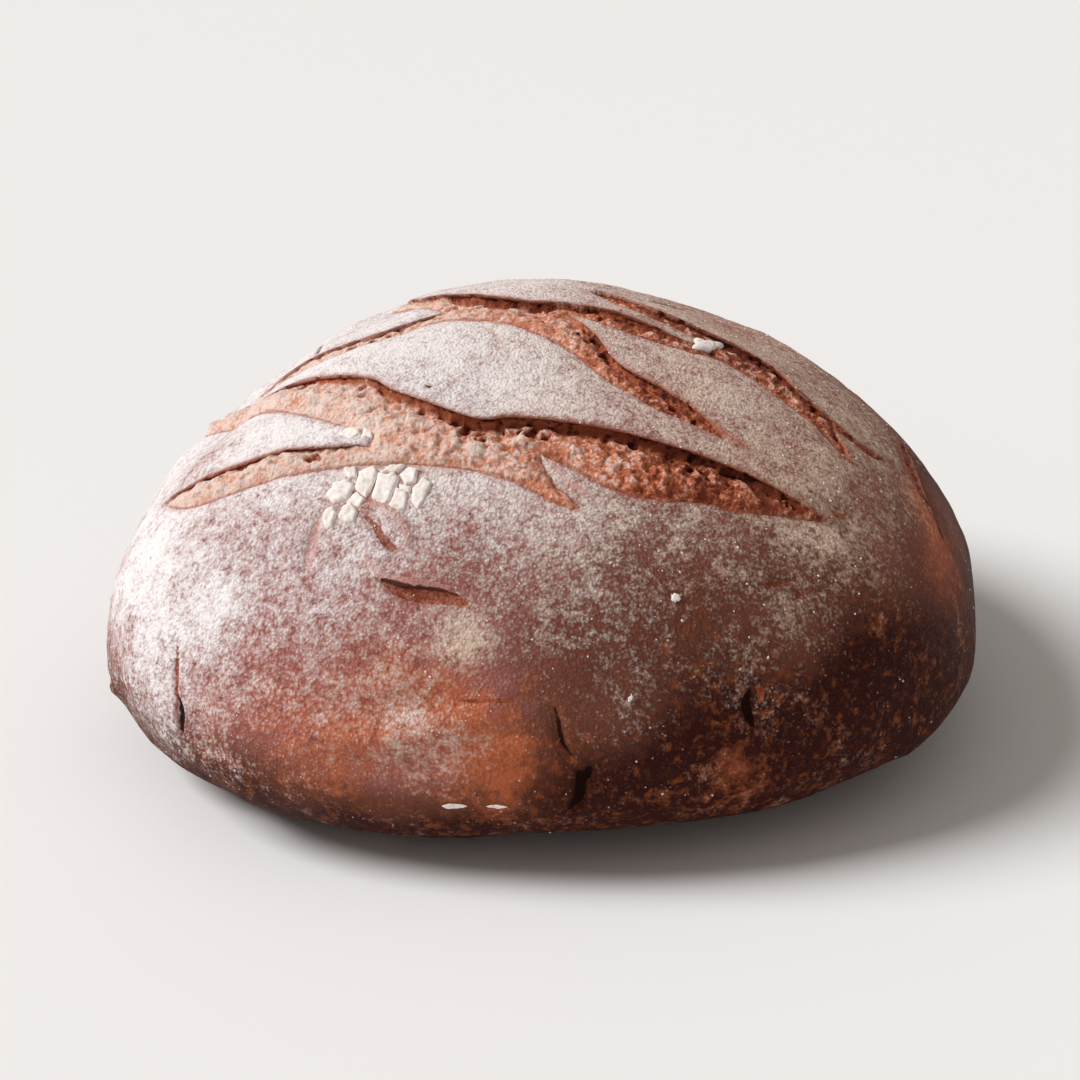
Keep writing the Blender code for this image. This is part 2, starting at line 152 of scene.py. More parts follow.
def square_of(reach, bearing):
    """Disc to square, the other way round."""
    u = reach * np.cos(bearing)
    v = reach * np.sin(bearing)
    wide = np.abs(u) >= np.abs(v)
    a = np.where(wide, np.sign(u) * reach, 0)
    b = np.where(wide, 0, np.sign(v) * reach)
    flat_b = a * np.arctan(v / np.where(wide & (u != 0), u, 1)) * 4 / math.pi
    flat_a = b * np.arctan(u / np.where(~wide, v, 1)) * 4 / math.pi
    a, b = np.where(wide, a, flat_a), np.where(wide, flat_b, b)
    return a, (np.sqrt(1 + 4 * FRONT_DRAW * (FRONT_DRAW + b)) - 1) / (2 * FRONT_DRAW)


def body_point(a, b):
    """Point of the smooth body over a point of the square."""
    reach, bearing = disc_of(a, b)
    share, height = profile(np.interp(reach, PROFILE_REACH, DOWN_STEPS))
    radius = share * plan_radius(bearing)
    return np.stack([radius * np.cos(bearing), radius * np.sin(bearing), height], -1) - CENTRE


def body_normal(a, b, step=1e-3):
    """Outward direction: the cross product of two short steps over the square."""
    along_a = body_point(a + step, b) - body_point(a - step, b)
    along_b = body_point(a, b + step) - body_point(a, b - step)
    normal = np.cross(along_a, along_b)
    return normal / np.linalg.norm(normal, axis=-1, keepdims=True)


def over_dome(x, y, bearing):
    """Angle down from the crown of a place on the dome seen from above: the profile's rule, turned round."""
    share = np.clip(np.hypot(x, y) / plan_radius(bearing), 0, 0.9999)
    return np.arcsin(share ** (DOME_SPREAD / 2))


def square_at(down, bearing):
    """The square's place for an angle down from the crown and a bearing."""
    return np.stack(square_of(np.interp(down, DOWN_STEPS, PROFILE_REACH), bearing), -1)


def square_from_plan(points):
    """Points in millimetres seen from above, on the dome, carried to the square."""
    x, y = (np.asarray(points, float) * MM).T
    bearing = np.arctan2(y, x)
    return square_at(over_dome(x, y, bearing), bearing)


def square_from_side(points):
    """Points given as bearing in degrees and height in millimetres, carried to the square."""
    degrees, height = np.asarray(points, float).T
    return square_at(np.interp(-height * MM, -PROFILE_HEIGHT, DOWN_STEPS), np.radians(degrees))


# %% [markdown]
# ## Curves and distances
#
# Nearly all of the loaf's detail depends on how far a point is from a cut or a split. Three helpers are
# enough: a smooth curve through a few points, the nearest place on a curve, and whether a point is
# inside a closed ring. They work on whole arrays, one curve span at a time.

# %% Curve helpers
def smooth_curve(points, steps=5):
    """Curve through the points: on each span a cubic that leaves and arrives along the neighbours' chord."""
    p = np.asarray(points, float)
    if len(p) < 3:
        return np.linspace(p[0], p[-1], steps + 1)
    ends = np.vstack([2 * p[0] - p[1], p, 2 * p[-1] - p[-2]])
    p0, p1, p2, p3 = (ends[i:len(ends) - 3 + i, None] for i in range(4))
    t = np.linspace(0, 1, steps, endpoint=False)[None, :, None]
    spans = 0.5 * (2 * p1 + (p2 - p0) * t + (2 * p0 - 5 * p1 + 4 * p2 - p3) * t**2
                   + (3 * p1 - p0 - 3 * p2 + p3) * t**3)
    return np.vstack([spans.reshape(-1, p.shape[1]), p[-1:]])


def nearest_on(points, curve):
    """For each point: distance to the curve, how far along it that is (0 to 1), and the nearest place."""
    best = np.full(len(points), np.inf)
    along = np.zeros(len(points))
    place = np.zeros_like(points)
    spans = len(curve) - 1
    for i in range(spans):
        run = curve[i + 1] - curve[i]
        t = np.clip((points - curve[i]) @ run / max(run @ run, 1e-18), 0, 1)
        foot = curve[i] + t[:, None] * run
        distance = np.sqrt(((points - foot) ** 2).sum(axis=1))
        closer = distance < best
        best[closer] = distance[closer]
        along[closer] = (i + t[closer]) / spans
        place[closer] = foot[closer]
    return best, along, place


def inside(points, ring):
    """Whether each point is inside the closed ring, by counting the crossings of a ray."""
    found = np.zeros(len(points), bool)
    x, y = points.T
    for (x0, y0), (x1, y1) in zip(ring, np.roll(ring, -1, axis=0)):
        if y0 == y1:
            continue
        crosses = (y0 > y) != (y1 > y)
        found ^= crosses & (x < x0 + (y - y0) * (x1 - x0) / (y1 - y0))
    return found


# %% [markdown]
# ## The camera
#
# The photograph was taken with a short telephoto lens from a little above the table. The camera comes first
# because small marks and flour patches are placed where they show in the picture: a ray through a picture
# place is followed until it meets the smooth body, which gives a real place on the loaf.

# %% Camera and places seen by it
CAMERA_ELEVATION = 0.3921
CAMERA_DISTANCE = 0.6
CAMERA_ROLL = -0.0101
FOCAL_LENGTH = 69.79
SENSOR = 36.0
PICTURE = 1080
TARGET = np.array([-0.0005, 0, 0.0415]) - CENTRE
# Where along a ray the loaf can be, in metres from the lens, and how many places are tried
RAY_SPAN = (0.4, 0.75)
RAY_STEPS = 1401

look_back = np.array([0, -math.cos(CAMERA_ELEVATION), math.sin(CAMERA_ELEVATION)])
turned = Matrix(np.stack([(1, 0, 0), np.cross(look_back, (1, 0, 0)), look_back], -1).tolist())
turned = turned @ Matrix.Rotation(CAMERA_ROLL, 3, "Z")
camera = bpy.data.objects.new("camera", bpy.data.cameras.new("camera"))
camera.data.lens = FOCAL_LENGTH
camera.data.sensor_width = SENSOR
camera.data.clip_start = 0.01
camera.matrix_world = Matrix.Translation(TARGET + CAMERA_DISTANCE * look_back) @ turned.to_4x4()
bpy.context.scene.collection.objects.link(camera)
bpy.context.scene.camera = camera


def square_from_picture(places):
    """Places in the picture, in pixels, carried to the square: a ray is stepped until it is in the body."""
    places = np.asarray(places, float)
    view = np.array(turned)
    middle = (places - PICTURE / 2) / (PICTURE * FOCAL_LENGTH / SENSOR)
    rays = np.column_stack([middle[:, 0], -middle[:, 1], -np.ones(len(places))]) @ view.T
    start = TARGET + CAMERA_DISTANCE * look_back + CENTRE
    steps = np.linspace(*RAY_SPAN, RAY_STEPS)
    points = start + steps[:, None, None] * rays
    x, y, z = np.moveaxis(points, -1, 0)
    widest = np.interp(z, PROFILE_HEIGHT[::-1], PROFILE_SHARE[::-1]) * plan_radius(np.arctan2(y, x))
    first = ((np.hypot(x, y) < widest) & (z > 0) & (z < HEIGHT)).argmax(axis=0)
    x, y, z = points[first, np.arange(len(places))].T
    bearing = np.arctan2(y, x)
    under_dome = np.interp(-z, -PROFILE_HEIGHT, DOWN_STEPS)
    return square_at(np.where(z > WIDEST_LEVEL, over_dome(x, y, bearing), under_dome), bearing)


def places_seen(places):
    """Points of the body that show at these places of the picture."""
    return body_point(*square_from_picture(places).T)


print("centre of the picture meets the loaf at", np.round(places_seen([(540, 560)])[0] / MM), "mm")

# %% [markdown]
# ## Where the cuts opened
#
# The baker's cuts run across the crown and fan out to the right. Each opening is a ring of edges, seen from
# above in millimetres: a lip, which stands up by its own height, or a seam, which lies low. The places are
# those of the construction model.

# %% The openings
OPENINGS = {
    "front": [
        ("lip", 3.2, [(-94, 25), (-87, 8), (-79, -7.5), (-72, -16), (-55, -30), (-42, -40), (-35, -48),
                      (-17, -60), (-6, -60.5), (20, -64), (52, -68.5), (65, -71), (75, -71)]),
        ("seam", 0, [(75, -71), (65, -74), (51, -77.5), (41, -78), (28, -79.5), (17, -78), (7, -73),
                     (0, -70)]),
        ("seam", 0, [(0, -70), (2, -76), (10, -83.5)]),
        ("seam", 0, [(10, -83.5), (4, -82.5), (-12, -75), (-40, -68.5), (-68, -62.5), (-89, -54.5),
                     (-101, -39)]),
        ("lip", 2.8, [(-101, -39), (-95, -43), (-86, -46.5), (-76, -51), (-64, -54.5), (-53, -59.5),
                      (-43, -62)]),
        ("seam", 0, [(-43, -62), (-43, -58.5), (-47, -55.5), (-56, -47), (-67, -35), (-81, -18), (-92, -3),
                     (-97, 10), (-94, 25)]),
    ],
    "crown": [
        ("lip", 1.0, [(-84, 14), (-78, 2), (-71.5, -4.3), (-65, -6.7), (-59, -8.8), (-52, -10.7),
                      (-45, -11.7), (-38.5, -12), (-31, -11.2), (-26, -9.8)]),
        ("seam", 0, [(-26, -9.8), (-29, -3), (-31.5, 3), (-35.5, 9), (-39, 17), (-42.5, 30), (-44.5, 42),
                     (-45, 55)]),
        ("lip", 2.2, [(-45, 55), (-40, 44), (-36.5, 30), (-34, 18), (-32, 11), (-26, 4), (-18.5, -4),
                      (-11, -9.5), (-3, -13.2), (6, -14.3), (15, -15.5), (24, -18.4), (31, -21), (37, -23.2),
                      (43, -23.3)]),
        ("seam", 0, [(43, -23.3), (40, -18.8), (35, -16.2), (29.5, -13), (21, -9), (16.5, -4.2), (13, 1)]),
        ("lip", 1.3, [(13, 1), (18.5, -0.5), (25, -4), (31, -7.5), (38, -10.5), (45, -12.8), (52, -14.5),
                      (59, -17.2), (64.5, -21), (68.5, -27), (74, -31.3), (80, -34.2), (86.5, -34.8),
                      (93.5, -33)]),
        ("seam", 0, [(93.5, -33), (89, -36.5), (84, -37.6), (77, -36.4)]),
        ("lip", 0.6, [(77, -36.4), (77.6, -41), (78.8, -46), (80.6, -51.6)]),
        ("seam", 0, [(80.6, -51.6), (77.5, -48.5), (73.5, -43), (68, -38.5), (62.5, -34.3), (56, -30.3),
                     (48, -26.8), (39, -27.2), (32, -26.8), (23.5, -24.8), (17.5, -22.3), (13.3, -20.5),
                     (8.5, -18)]),
        ("lip", 1.4, [(8.5, -18), (11.4, -22.6), (15.7, -29.5), (19, -37), (23, -41.5), (28.5, -45),
                      (33, -48), (37.5, -51.5), (42, -55), (45.6, -58.2), (50, -60.8), (55.5, -62.5)]),
        ("seam", 0, [(55.5, -62.5), (48.6, -61.4), (42, -59), (35, -56.6), (28.5, -54), (23.5, -50.5),
                     (16.7, -45.2), (11.5, -39), (5, -32), (-1.3, -27.6), (-7, -23.5), (-14, -20.2),
                     (-25, -16), (-31, -15.6), (-39, -16.5), (-50, -15.2), (-59, -13.9), (-65, -12),
                     (-71.5, -9), (-79, -2.5), (-84, 6), (-84, 14)]),
    ],
    "side": [
        ("lip", 0.9, [(70, 40), (82, 20), (89, 9), (94, -2), (96.3, -13), (96.8, -24), (97.6, -32),
                      (99.6, -38), (102.4, -44), (105.5, -49)]),
        ("seam", 0, [(105.5, -49), (105.4, -42), (104.6, -34), (103.6, -26), (102.8, -15), (101.6, -4),
                     (97, 10), (89, 24), (70, 40)]),
    ],
    "rear": [
        ("lip", 2.0, [(48, 68), (30, 76), (8, 81), (-16, 81), (-38, 74), (-60, 60)]),
        ("seam", 0, [(-60, 60), (-44, 81), (-18, 92), (10, 93), (32, 86), (48, 68)]),
    ],
}
EDGES = {
    name: [(kind, height * MM, square_from_plan(smooth_curve(points))) for kind, height, points in edges]
    for name, edges in OPENINGS.items()
}


def ring_turn(edges):
    """+1 where the ring of edges runs anticlockwise over the square, -1 where it runs clockwise."""
    x, y = np.vstack([edge[:-1] for _, _, edge in edges]).T
    return math.copysign(1, np.sum(x * np.roll(y, -1) - np.roll(x, -1) * y))


RINGS = {name: np.vstack([edge[:-1] for _, _, edge in edges]) for name, edges in EDGES.items()}
TURNS = {name: ring_turn(edges) for name, edges in EDGES.items()}
print(len(OPENINGS), "opened cuts")

# %% [markdown]
# ## Unevenness
#
# Dough is never even. Slow swells come from a few sine waves in chosen directions, the same as in the
# construction model. Fine roughness comes from random numbers on a cubic lattice, blended smoothly between
# its corners. Blender's own noise works in shaders, where it can't be measured, so the field is made
# here, and always from a fixed seed.

# %% Slow swells and lattice roughness
LUMP_HEIGHT = 0.55 * MM
LUMP_WAVES = ((95, 0.9), (70, 0.8), (48, 0.6), (36, 0.4), (27, 0.3))
CALM_BELOW = 14 * MM
SEED = 7
LATTICE = 48
# Curve as (bearing, height), half width and depth in millimetres
DENTS = [
    ([(152, 84), (158, 80), (166, 74)], 15.0, 3.6),
    ([(186, 85), (178, 86), (169, 86)], 14.0, 3.4),
    ([(125, 102), (132, 99), (140, 97)], 13.0, 2.4),
    ([(210, 22), (218, 18), (226, 14)], 8.5, 2.6),
    ([(268, 6), (285, 6), (300, 6), (316, 8)], 9.0, 1.8),
    ([(34, 103), (52, 105), (66, 107)], 14.0, 1.8),
    ([(3, 82), (11, 85), (17, 88)], 10.0, 1.0),
]


def waves(points):
    """Slow unevenness of the loaf: sine waves in seeded directions, in metres."""
    rng = np.random.default_rng(SEED)
    total = np.zeros(len(points))
    for length, strength in LUMP_WAVES:
        direction = rng.normal(size=3)
        direction /= np.linalg.norm(direction)
        phase = rng.uniform(0, 2 * math.pi)
        total += strength * np.sin(2 * math.pi * points @ direction / (length * MM) + phase)
    return LUMP_HEIGHT * total


def dents(points):
    """How deep each point lies in the soft dents left by shaping: bells of the distance to each curve."""
    there = np.zeros(len(points))
    for places, half_width, depth in DENTS:
        gap, _, _ = nearest_on(points, body_point(*square_from_side(smooth_curve(places)).T))
        there += depth * MM * np.exp(-((gap / (half_width * MM)) ** 2))
    return there


def roughness(points, size, seed):
    """Smooth random field from -1 to 1 with bumps of the given size in millimetres.

    Random numbers stand on a cubic lattice. Each point blends its cell's eight corners by an S-shaped weight.
    """
    table = np.random.default_rng(seed).uniform(-1, 1, (LATTICE, LATTICE, LATTICE))
    cells = points / (size * MM) + 500
    low = np.floor(cells).astype(int)
    t = cells - low
    t = t * t * (3 - 2 * t)
    total = np.zeros(len(points))
    for corner in np.ndindex(2, 2, 2):
        i, j, k = ((low + corner) % LATTICE).T
        total += np.prod(np.where(corner, t, 1 - t), axis=-1) * table[i, j, k]
    return total


def smooth_step(low, high, value):
    """0 below the low bound, 1 above the high one, and an S-shaped rise between."""
    t = np.clip((value - low) / (high - low), 0, 1)
    return t * t * (3 - 2 * t)


def calm(points):
    """0 on the base and 1 above the foot of the loaf, so that the loaf rests flat."""
    return smooth_step(0, CALM_BELOW, points[:, 2])


# %% [markdown]
# ## The crust as a fine grid
#
# The grid has about a cell for each millimetre. A cut's edge would come out as a staircase on it, so the
# nodes nearest to an edge are moved onto it, and each cell is cut along the diagonal that follows the edge.
# That keeps the mesh regular, which a Boolean cut would not.

# %% Grid with its nodes on the edges
CELLS = 304


def snapped_grid():
    """Nodes of the square, those within half a cell of an edge moved onto it, and the number of that edge."""
    steps = np.linspace(-1, 1, CELLS + 1)
    a, b = np.meshgrid(steps, steps, indexing="ij")
    nodes = np.stack([a.ravel(), b.ravel()], -1)
    cell = 2 / CELLS
    best = np.full(len(nodes), np.inf)
    target = nodes.copy()
    owner = np.full(len(nodes), -1)
    number = 0
    for edges in EDGES.values():
        for _, _, edge in edges:
            low, high = edge.min(axis=0) - cell, edge.max(axis=0) + cell
            near = np.flatnonzero(((nodes > low) & (nodes < high)).all(axis=1))
            distance, _, place = nearest_on(nodes[near], edge)
            closer = distance < best[near]
            best[near[closer]] = distance[closer]
            target[near[closer]] = place[closer]
            owner[near[closer]] = number
            number += 1
    moves = (best < cell / 2) & (np.abs(nodes).max(axis=1) < 1 - cell / 2)
    nodes[moves] = target[moves]
    return nodes, np.where(moves, owner, -1)


def grid_triangles(nodes, owner):
    """Two triangles for each cell, cut along the diagonal that follows an edge, or else the shorter one."""
    n = CELLS + 1
    index = np.arange(n * n).reshape(n, n)
    corners = (index[:-1, :-1], index[1:, :-1], index[1:, 1:], index[:-1, 1:])
    c00, c10, c11, c01 = (corner.ravel() for corner in corners)
    points = body_point(*nodes.T)
    rising = np.linalg.norm(points[c00] - points[c11], axis=1)
    falling = np.linalg.norm(points[c10] - points[c01], axis=1)
    follows_rising = (owner[c00] == owner[c11]) & (owner[c00] != -1)
    follows_falling = (owner[c10] == owner[c01]) & (owner[c10] != -1)
    use_rising = np.where(follows_rising == follows_falling, rising <= falling, follows_rising)[:, None]
    first = np.where(use_rising, np.stack([c00, c10, c11], 1), np.stack([c00, c10, c01], 1))
    second = np.where(use_rising, np.stack([c00, c11, c01], 1), np.stack([c10, c11, c01], 1))
    return np.vstack([first, second])


nodes, owner = snapped_grid()
faces = grid_triangles(nodes, owner)
smooth = body_point(*nodes.T)
normals = body_normal(*nodes.T)
on_edge = owner >= 0
print(len(nodes), "nodes,", int(on_edge.sum()), "of them on an edge")

# %% [markdown]
# ## Lips, walls and notches
#
# On the uphill side of a cut the crust curls up and hangs over the opening, as a baker's ear does. Below the
# lip the crust turns under, and its wall drops into a notch that the crumb will fill. So each grid node near a
# cut gets two numbers: how far it stands out, and how far it slides along the surface. They are read from short
# profiles, drawn as steps into the opening and depth.

# %% Relief of the crust round each cut
LIP_REACH = 13 * MM
OVERHANG = 1.2 * MM
OVERHANG_REACH = 4 * MM
SEAM_DROP = 0.8 * MM
SEAM_REACH = 4 * MM
FULL_WIDTH = 9 * MM
CUT_INFLUENCE = 30 * MM
# Steps into the opening, in millimetres: where the wall under a lip runs, and its height against the lip's
WALL_STEP = (0, 1.2, 2.4, 3.6, 6.0)
WALL_PLACE = (1.2, 0.1, -1.0, -0.4, 6.0)
WALL_LEVEL = (0, -1.4, -3.0, -6.0, -10.0)
SEAM_STEP = (0, 0.9, 2.2, 4.5)
SEAM_LEVEL = (0, -1.6, -5.0, -10.0)
# Where the lips grow from low to full, in metres from the middle
LIPS_RISE = (-0.078, -0.020)


def across_lip(edge, turn, along):
    """Directions over the surface, square to an edge, that point into its opening, at shares of its length."""
    corners = turn * np.cross(body_normal(*edge.T), np.gradient(body_point(*edge.T), axis=0))
    corners /= np.linalg.norm(corners, axis=1, keepdims=True)
    shares = np.linspace(0, 1, len(edge))
    across = np.stack([np.interp(along, shares, corners[:, axis]) for axis in range(3)], -1)
    return across / np.linalg.norm(across, axis=1, keepdims=True)


def stand(points):
    """Share of a lip's height by place: the cuts tore less towards the left, where the lips lie low."""
    return 0.35 + 0.65 * smooth_step(*LIPS_RISE, points[:, 0])


def taper(along, power=0.5):
    """0 at both ends of a curve and 1 in its middle: the sine of the way along, to a power."""
    return np.sin(math.pi * np.clip(along, 0, 1)) ** power


def cut_field(points, name):
    """What every point near one opening needs to know of its edges.

    Returns the distance to the nearest lip and seam, that lip's local height, and the direction across it.
    """
    lip_gap = np.full(len(points), np.inf)
    seam_gap = np.full(len(points), np.inf)
    lift = np.zeros(len(points))
    across = np.zeros_like(points)
    for kind, height, edge in EDGES[name]:
        gap, along, _ = nearest_on(points, body_point(*edge.T))
        if kind == "seam":
            seam_gap = np.minimum(seam_gap, gap)
            continue
        closer = gap < lip_gap
        across[closer] = across_lip(edge, TURNS[name], along[closer])
        lift[closer] = (height * stand(points) * taper(along))[closer]
        lip_gap[closer] = gap[closer]
    return lip_gap, seam_gap, lift, across


def crust_relief():
    """How far each crust node stands out and slides, how deep it is in a notch, and how near to an edge.

    The nearness falls off exponentially with the distance, and the finish colours the crust's rim by it.
    """
    outward = np.zeros(len(nodes))
    slide = np.zeros_like(smooth)
    in_notch = np.zeros(len(nodes))
    rim = np.zeros(len(nodes))
    for name, edges in EDGES.items():
        middle = smooth[inside(nodes, RINGS[name])].mean(axis=0)
        reach = CUT_INFLUENCE + np.linalg.norm(body_point(*RINGS[name].T) - middle, axis=1).max()
        near = np.flatnonzero(np.linalg.norm(smooth - middle, axis=1) < reach)
        here = inside(nodes[near], RINGS[name]) & ~on_edge[near]
        points = smooth[near]
        for kind, height, edge in edges:
            curve = body_point(*edge.T)
            gap, along, place = nearest_on(points, curve)
            if kind == "seam":
                outward[near] -= np.where(here, 0, SEAM_DROP * taper(along) * np.exp(-gap / SEAM_REACH))
                glow = 0.45 * np.exp(-gap / (0.6 * MM)) * taper(along, 0.3)
                rim[near] = np.maximum(rim[near], np.where(here, 0, glow))
                continue
            across = across_lip(edge, TURNS[name], along)
            side = -np.einsum("ij,ij->i", points - place, across) / np.maximum(gap, 1e-9)
            plate = np.where(on_edge[near] & (gap < 0.3 * MM), 1, np.clip(1.5 * side + 0.3, 0, 1))
            plate = np.where(here, 0, plate) * taper(along) * stand(points)
            outward[near] += plate * height * np.exp(-((gap / LIP_REACH) ** 1.4))
            slide[near] += (plate * OVERHANG * np.exp(-gap / OVERHANG_REACH))[:, None] * across
            glow = np.exp(-gap / (0.7 * MM)) * taper(along, 0.3)
            rim[near] = np.maximum(rim[near], np.where(here, 0, glow))
        hole = near[here]
        lip_gap, seam_gap, lift, across = cut_field(smooth[hole], name)
        edge_gap = np.minimum(lip_gap, seam_gap)
        wide = np.clip((lip_gap + seam_gap) / FULL_WIDTH, 0.22, 1)
        step, seam_step = lip_gap / wide / MM, seam_gap / wide / MM
        wall_end = WALL_STEP[-1]
        from_lip = lift * smooth_step(wall_end, 1, step) + wide * np.interp(step, WALL_STEP, WALL_LEVEL) * MM
        from_seam = -SEAM_DROP * 0.6 + wide * np.interp(seam_step, SEAM_STEP, SEAM_LEVEL) * MM
        moved = wide * (np.interp(step, WALL_STEP, WALL_PLACE) - step) * MM
        moved = moved * smooth_step(0, wall_end, seam_step)
        outward[hole] = np.maximum(from_lip, from_seam)
        slide[hole] = np.where(step < wall_end, moved, 0)[:, None] * across
        in_notch[hole] = np.clip(edge_gap / (1.6 * MM), 0, 1)
        rim[hole] = np.exp(-edge_gap / (1.5 * MM))
    return outward, slide, in_notch, rim


crust_out, crust_slide, in_notch, rim = crust_relief()
print("lips stand up to", round(crust_out.max() / MM, 1), "mm")
print("notches drop to", round(crust_out.min() / MM, 1), "mm")

# %% [markdown]
# ## Small forms of the skin
#
# Between the cuts the skin has its own marks: soft folds low on the front, a curled ridge beside the slit,
# faint wrinkles and the fine pebbling of baked dough. Each is a rounded groove or ridge along a short
# curve, a bell-shaped step from the middle line outwards. Cracks and bare ridges are also stored as a
# distance in millimetres to their edge: it changes evenly between nodes, so the shader draws them finer
# than the grid.

# %% Folds, ridges, cracks and pebbling
# Curve in the picture, half width in millimetres, height (negative for a groove)
MARKS = [
    ([(372, 512), (388, 522), (396, 538)], 2.6, 1.0),
    ([(372, 556), (386, 570), (410, 577), (440, 582), (468, 590)], 2.2, 0.8),
    ([(318, 704), (370, 712), (430, 706), (480, 694)], 4.0, -1.0),
    ([(310, 738), (370, 744), (440, 732), (490, 716)], 4.0, 1.8),
    ([(330, 764), (390, 768), (440, 756)], 4.0, -0.8),
    ([(192, 690), (200, 730), (222, 770)], 3.5, -1.2),
    ([(548, 708), (560, 740), (572, 766)], 1.2, -0.8),
    ([(238, 455), (245, 440)], 1.2, -0.7),
    ([(472, 323), (492, 336), (511, 357)], 1.4, -0.6),
    ([(646, 304), (675, 307), (703, 313)], 1.0, -0.7),
    ([(760, 588), (780, 583), (806, 588)], 1.2, -0.7),
    ([(790, 600), (806, 592), (816, 598)], 1.1, -0.7),
    ([(270, 600), (330, 622), (380, 620)], 7.0, 0.6),
    ([(520, 640), (560, 660), (610, 660)], 8.0, 0.7),
    ([(120, 640), (118, 680), (124, 700)], 2.6, -1.0),
    ([(640, 560), (720, 590), (790, 640)], 9.0, 0.6),
    ([(600, 690), (680, 700), (740, 690)], 7.0, -0.6),
]
# Tone, curve in the picture, half width and depth in millimetres (negative for a ridge). The darkest tone
# paints the inside of a crack or hole near black, as painted shade.
STROKES = [
    ("torn", [(176, 628), (177, 660), (176, 690), (178, 712)], 0.70, 0.8),
    ("shaded_crack", [(177, 696), (180, 718), (179, 740)], 1.10, 1.8),
    ("torn", [(379, 578), (392, 587), (410, 593), (432, 596), (455, 600), (472, 609)], 2.00, 1.8),
    ("rose", [(364, 544), (369, 562), (382, 576), (408, 583), (440, 588), (474, 599)], 0.90, -1.2),
    ("rose", [(356, 509), (380, 505), (399, 518), (408, 536), (407, 556)], 0.95, -1.2),
    ("torn", [(358, 512), (374, 524), (382, 538), (392, 548), (403, 553)], 1.00, 1.5),
    ("rose", [(321, 512), (313, 532), (308, 552), (304, 576)], 1.40, 1.8),
    ("shaded_crack", [(592, 769), (586, 785), (578, 798), (567, 812)], 1.30, 2.4),
    ("shaded_crack", [(553, 703), (558, 722), (563, 745), (576, 766)], 0.55, 0.7),
    ("torn", [(446, 699), (480, 703), (515, 700), (556, 699)], 0.60, 0.7),
    ("shaded_crack", [(752, 688), (748, 704), (751, 718), (756, 731)], 1.20, 2.0),
    ("torn", [(757, 586), (780, 582), (806, 588)], 0.60, 0.5),
    ("torn", [(792, 598), (808, 592)], 0.60, 0.5),
    ("torn", [(828, 514), (846, 519)], 1.00, 0.9),
    ("shaded_crack", [(913, 486), (922, 500), (932, 514)], 0.80, 1.0),
    ("shaded_crack", [(320, 340), (321, 350), (319, 360)], 0.60, 0.6),
    ("shaded_crack", [(427, 391), (434, 393)], 0.60, 0.8),
    ("shaded_crack", [(646, 304), (675, 307), (703, 313)], 0.70, 0.4),
    ("torn", [(112, 688), (120, 697), (128, 706)], 0.80, 0.8),
    ("torn", [(895, 436), (908, 470), (922, 496), (938, 528), (948, 552)], 1.60, -0.5),
    ("rose", [(517, 422), (545, 452), (570, 480), (600, 498)], 0.80, 0.0),
    ("rose", [(472, 323), (492, 336), (511, 357)], 0.70, -0.3),
    ("torn", [(757, 686), (762, 694), (760, 706)], 0.90, 0.3),
]
TONES = ("shaded_crack", "torn", "rose")
# Bearing and height
NUB = (206, 23)
FAR = 5.0


def skin_marks(points):
    """Rounded grooves and ridges: each height times a bell of the distance to its curve."""
    outward = np.zeros(len(points))
    for places, half_width, height in MARKS:
        gap, along, _ = nearest_on(points, places_seen(smooth_curve(places)))
        outward += taper(0.08 + 0.84 * along) * height * MM * np.exp(-((gap / (half_width * MM)) ** 2))
    nub = body_point(*square_from_side([NUB]).T)[0]
    return outward + 1.6 * MM * np.exp(-((np.linalg.norm(points - nub, axis=1) / (2.6 * MM)) ** 2))


def skin_strokes(points):
    """Depth of the cracks, and for each tone the distance in millimetres to its nearest edge, negative inside.

    A stroke is a lens: its half width is multiplied by the sine of the way along. Its depth is an S-shaped step
    of the distance to its edge.
    """
    depth = np.zeros(len(points))
    nearest = {tone: np.full(len(points), FAR) for tone in TONES}
    for tone, places, half_width, deepest in STROKES:
        gap, along, _ = nearest_on(points, places_seen(smooth_curve(places)))
        edge = gap / MM - half_width * taper(along, 0.7)
        depth += deepest * MM * smooth_step(0.8, -0.8, edge) * taper(0.1 + 0.8 * along)
        nearest[tone] = np.minimum(nearest[tone], edge)
    return depth, nearest


def pebbling(points):
    """Baked skin: bumps of 9, 4 and 2 millimetres."""
    layers = ((0.20, 9, 11), (0.14, 4.2, 12), (0.09, 2.1, 13))
    return sum(height * roughness(points, size, seed) for height, size, seed in layers) * MM


crack_depth, strokes = skin_strokes(smooth)
skin = np.where(in_notch > 0, 0, skin_marks(smooth) + pebbling(smooth) - crack_depth)
lift = calm(smooth)[:, None]
crust_points = smooth + lift * ((crust_out + skin + waves(smooth))[:, None] * normals + crust_slide)
crust_points -= dents(smooth)[:, None] * normals
print("skin relief spans", round(np.ptp(skin) / MM, 2), "mm")

# %% [markdown]
# ## Closing the base
#
# The wrapped square stops at the edge of the flat base. Three smaller copies of its rim and one middle point
# close it, so the crust is one watertight surface, as a printer or a physics engine would want.

# %% Base of the crust
BASE_RINGS = (0.96, 0.8, 0.45)


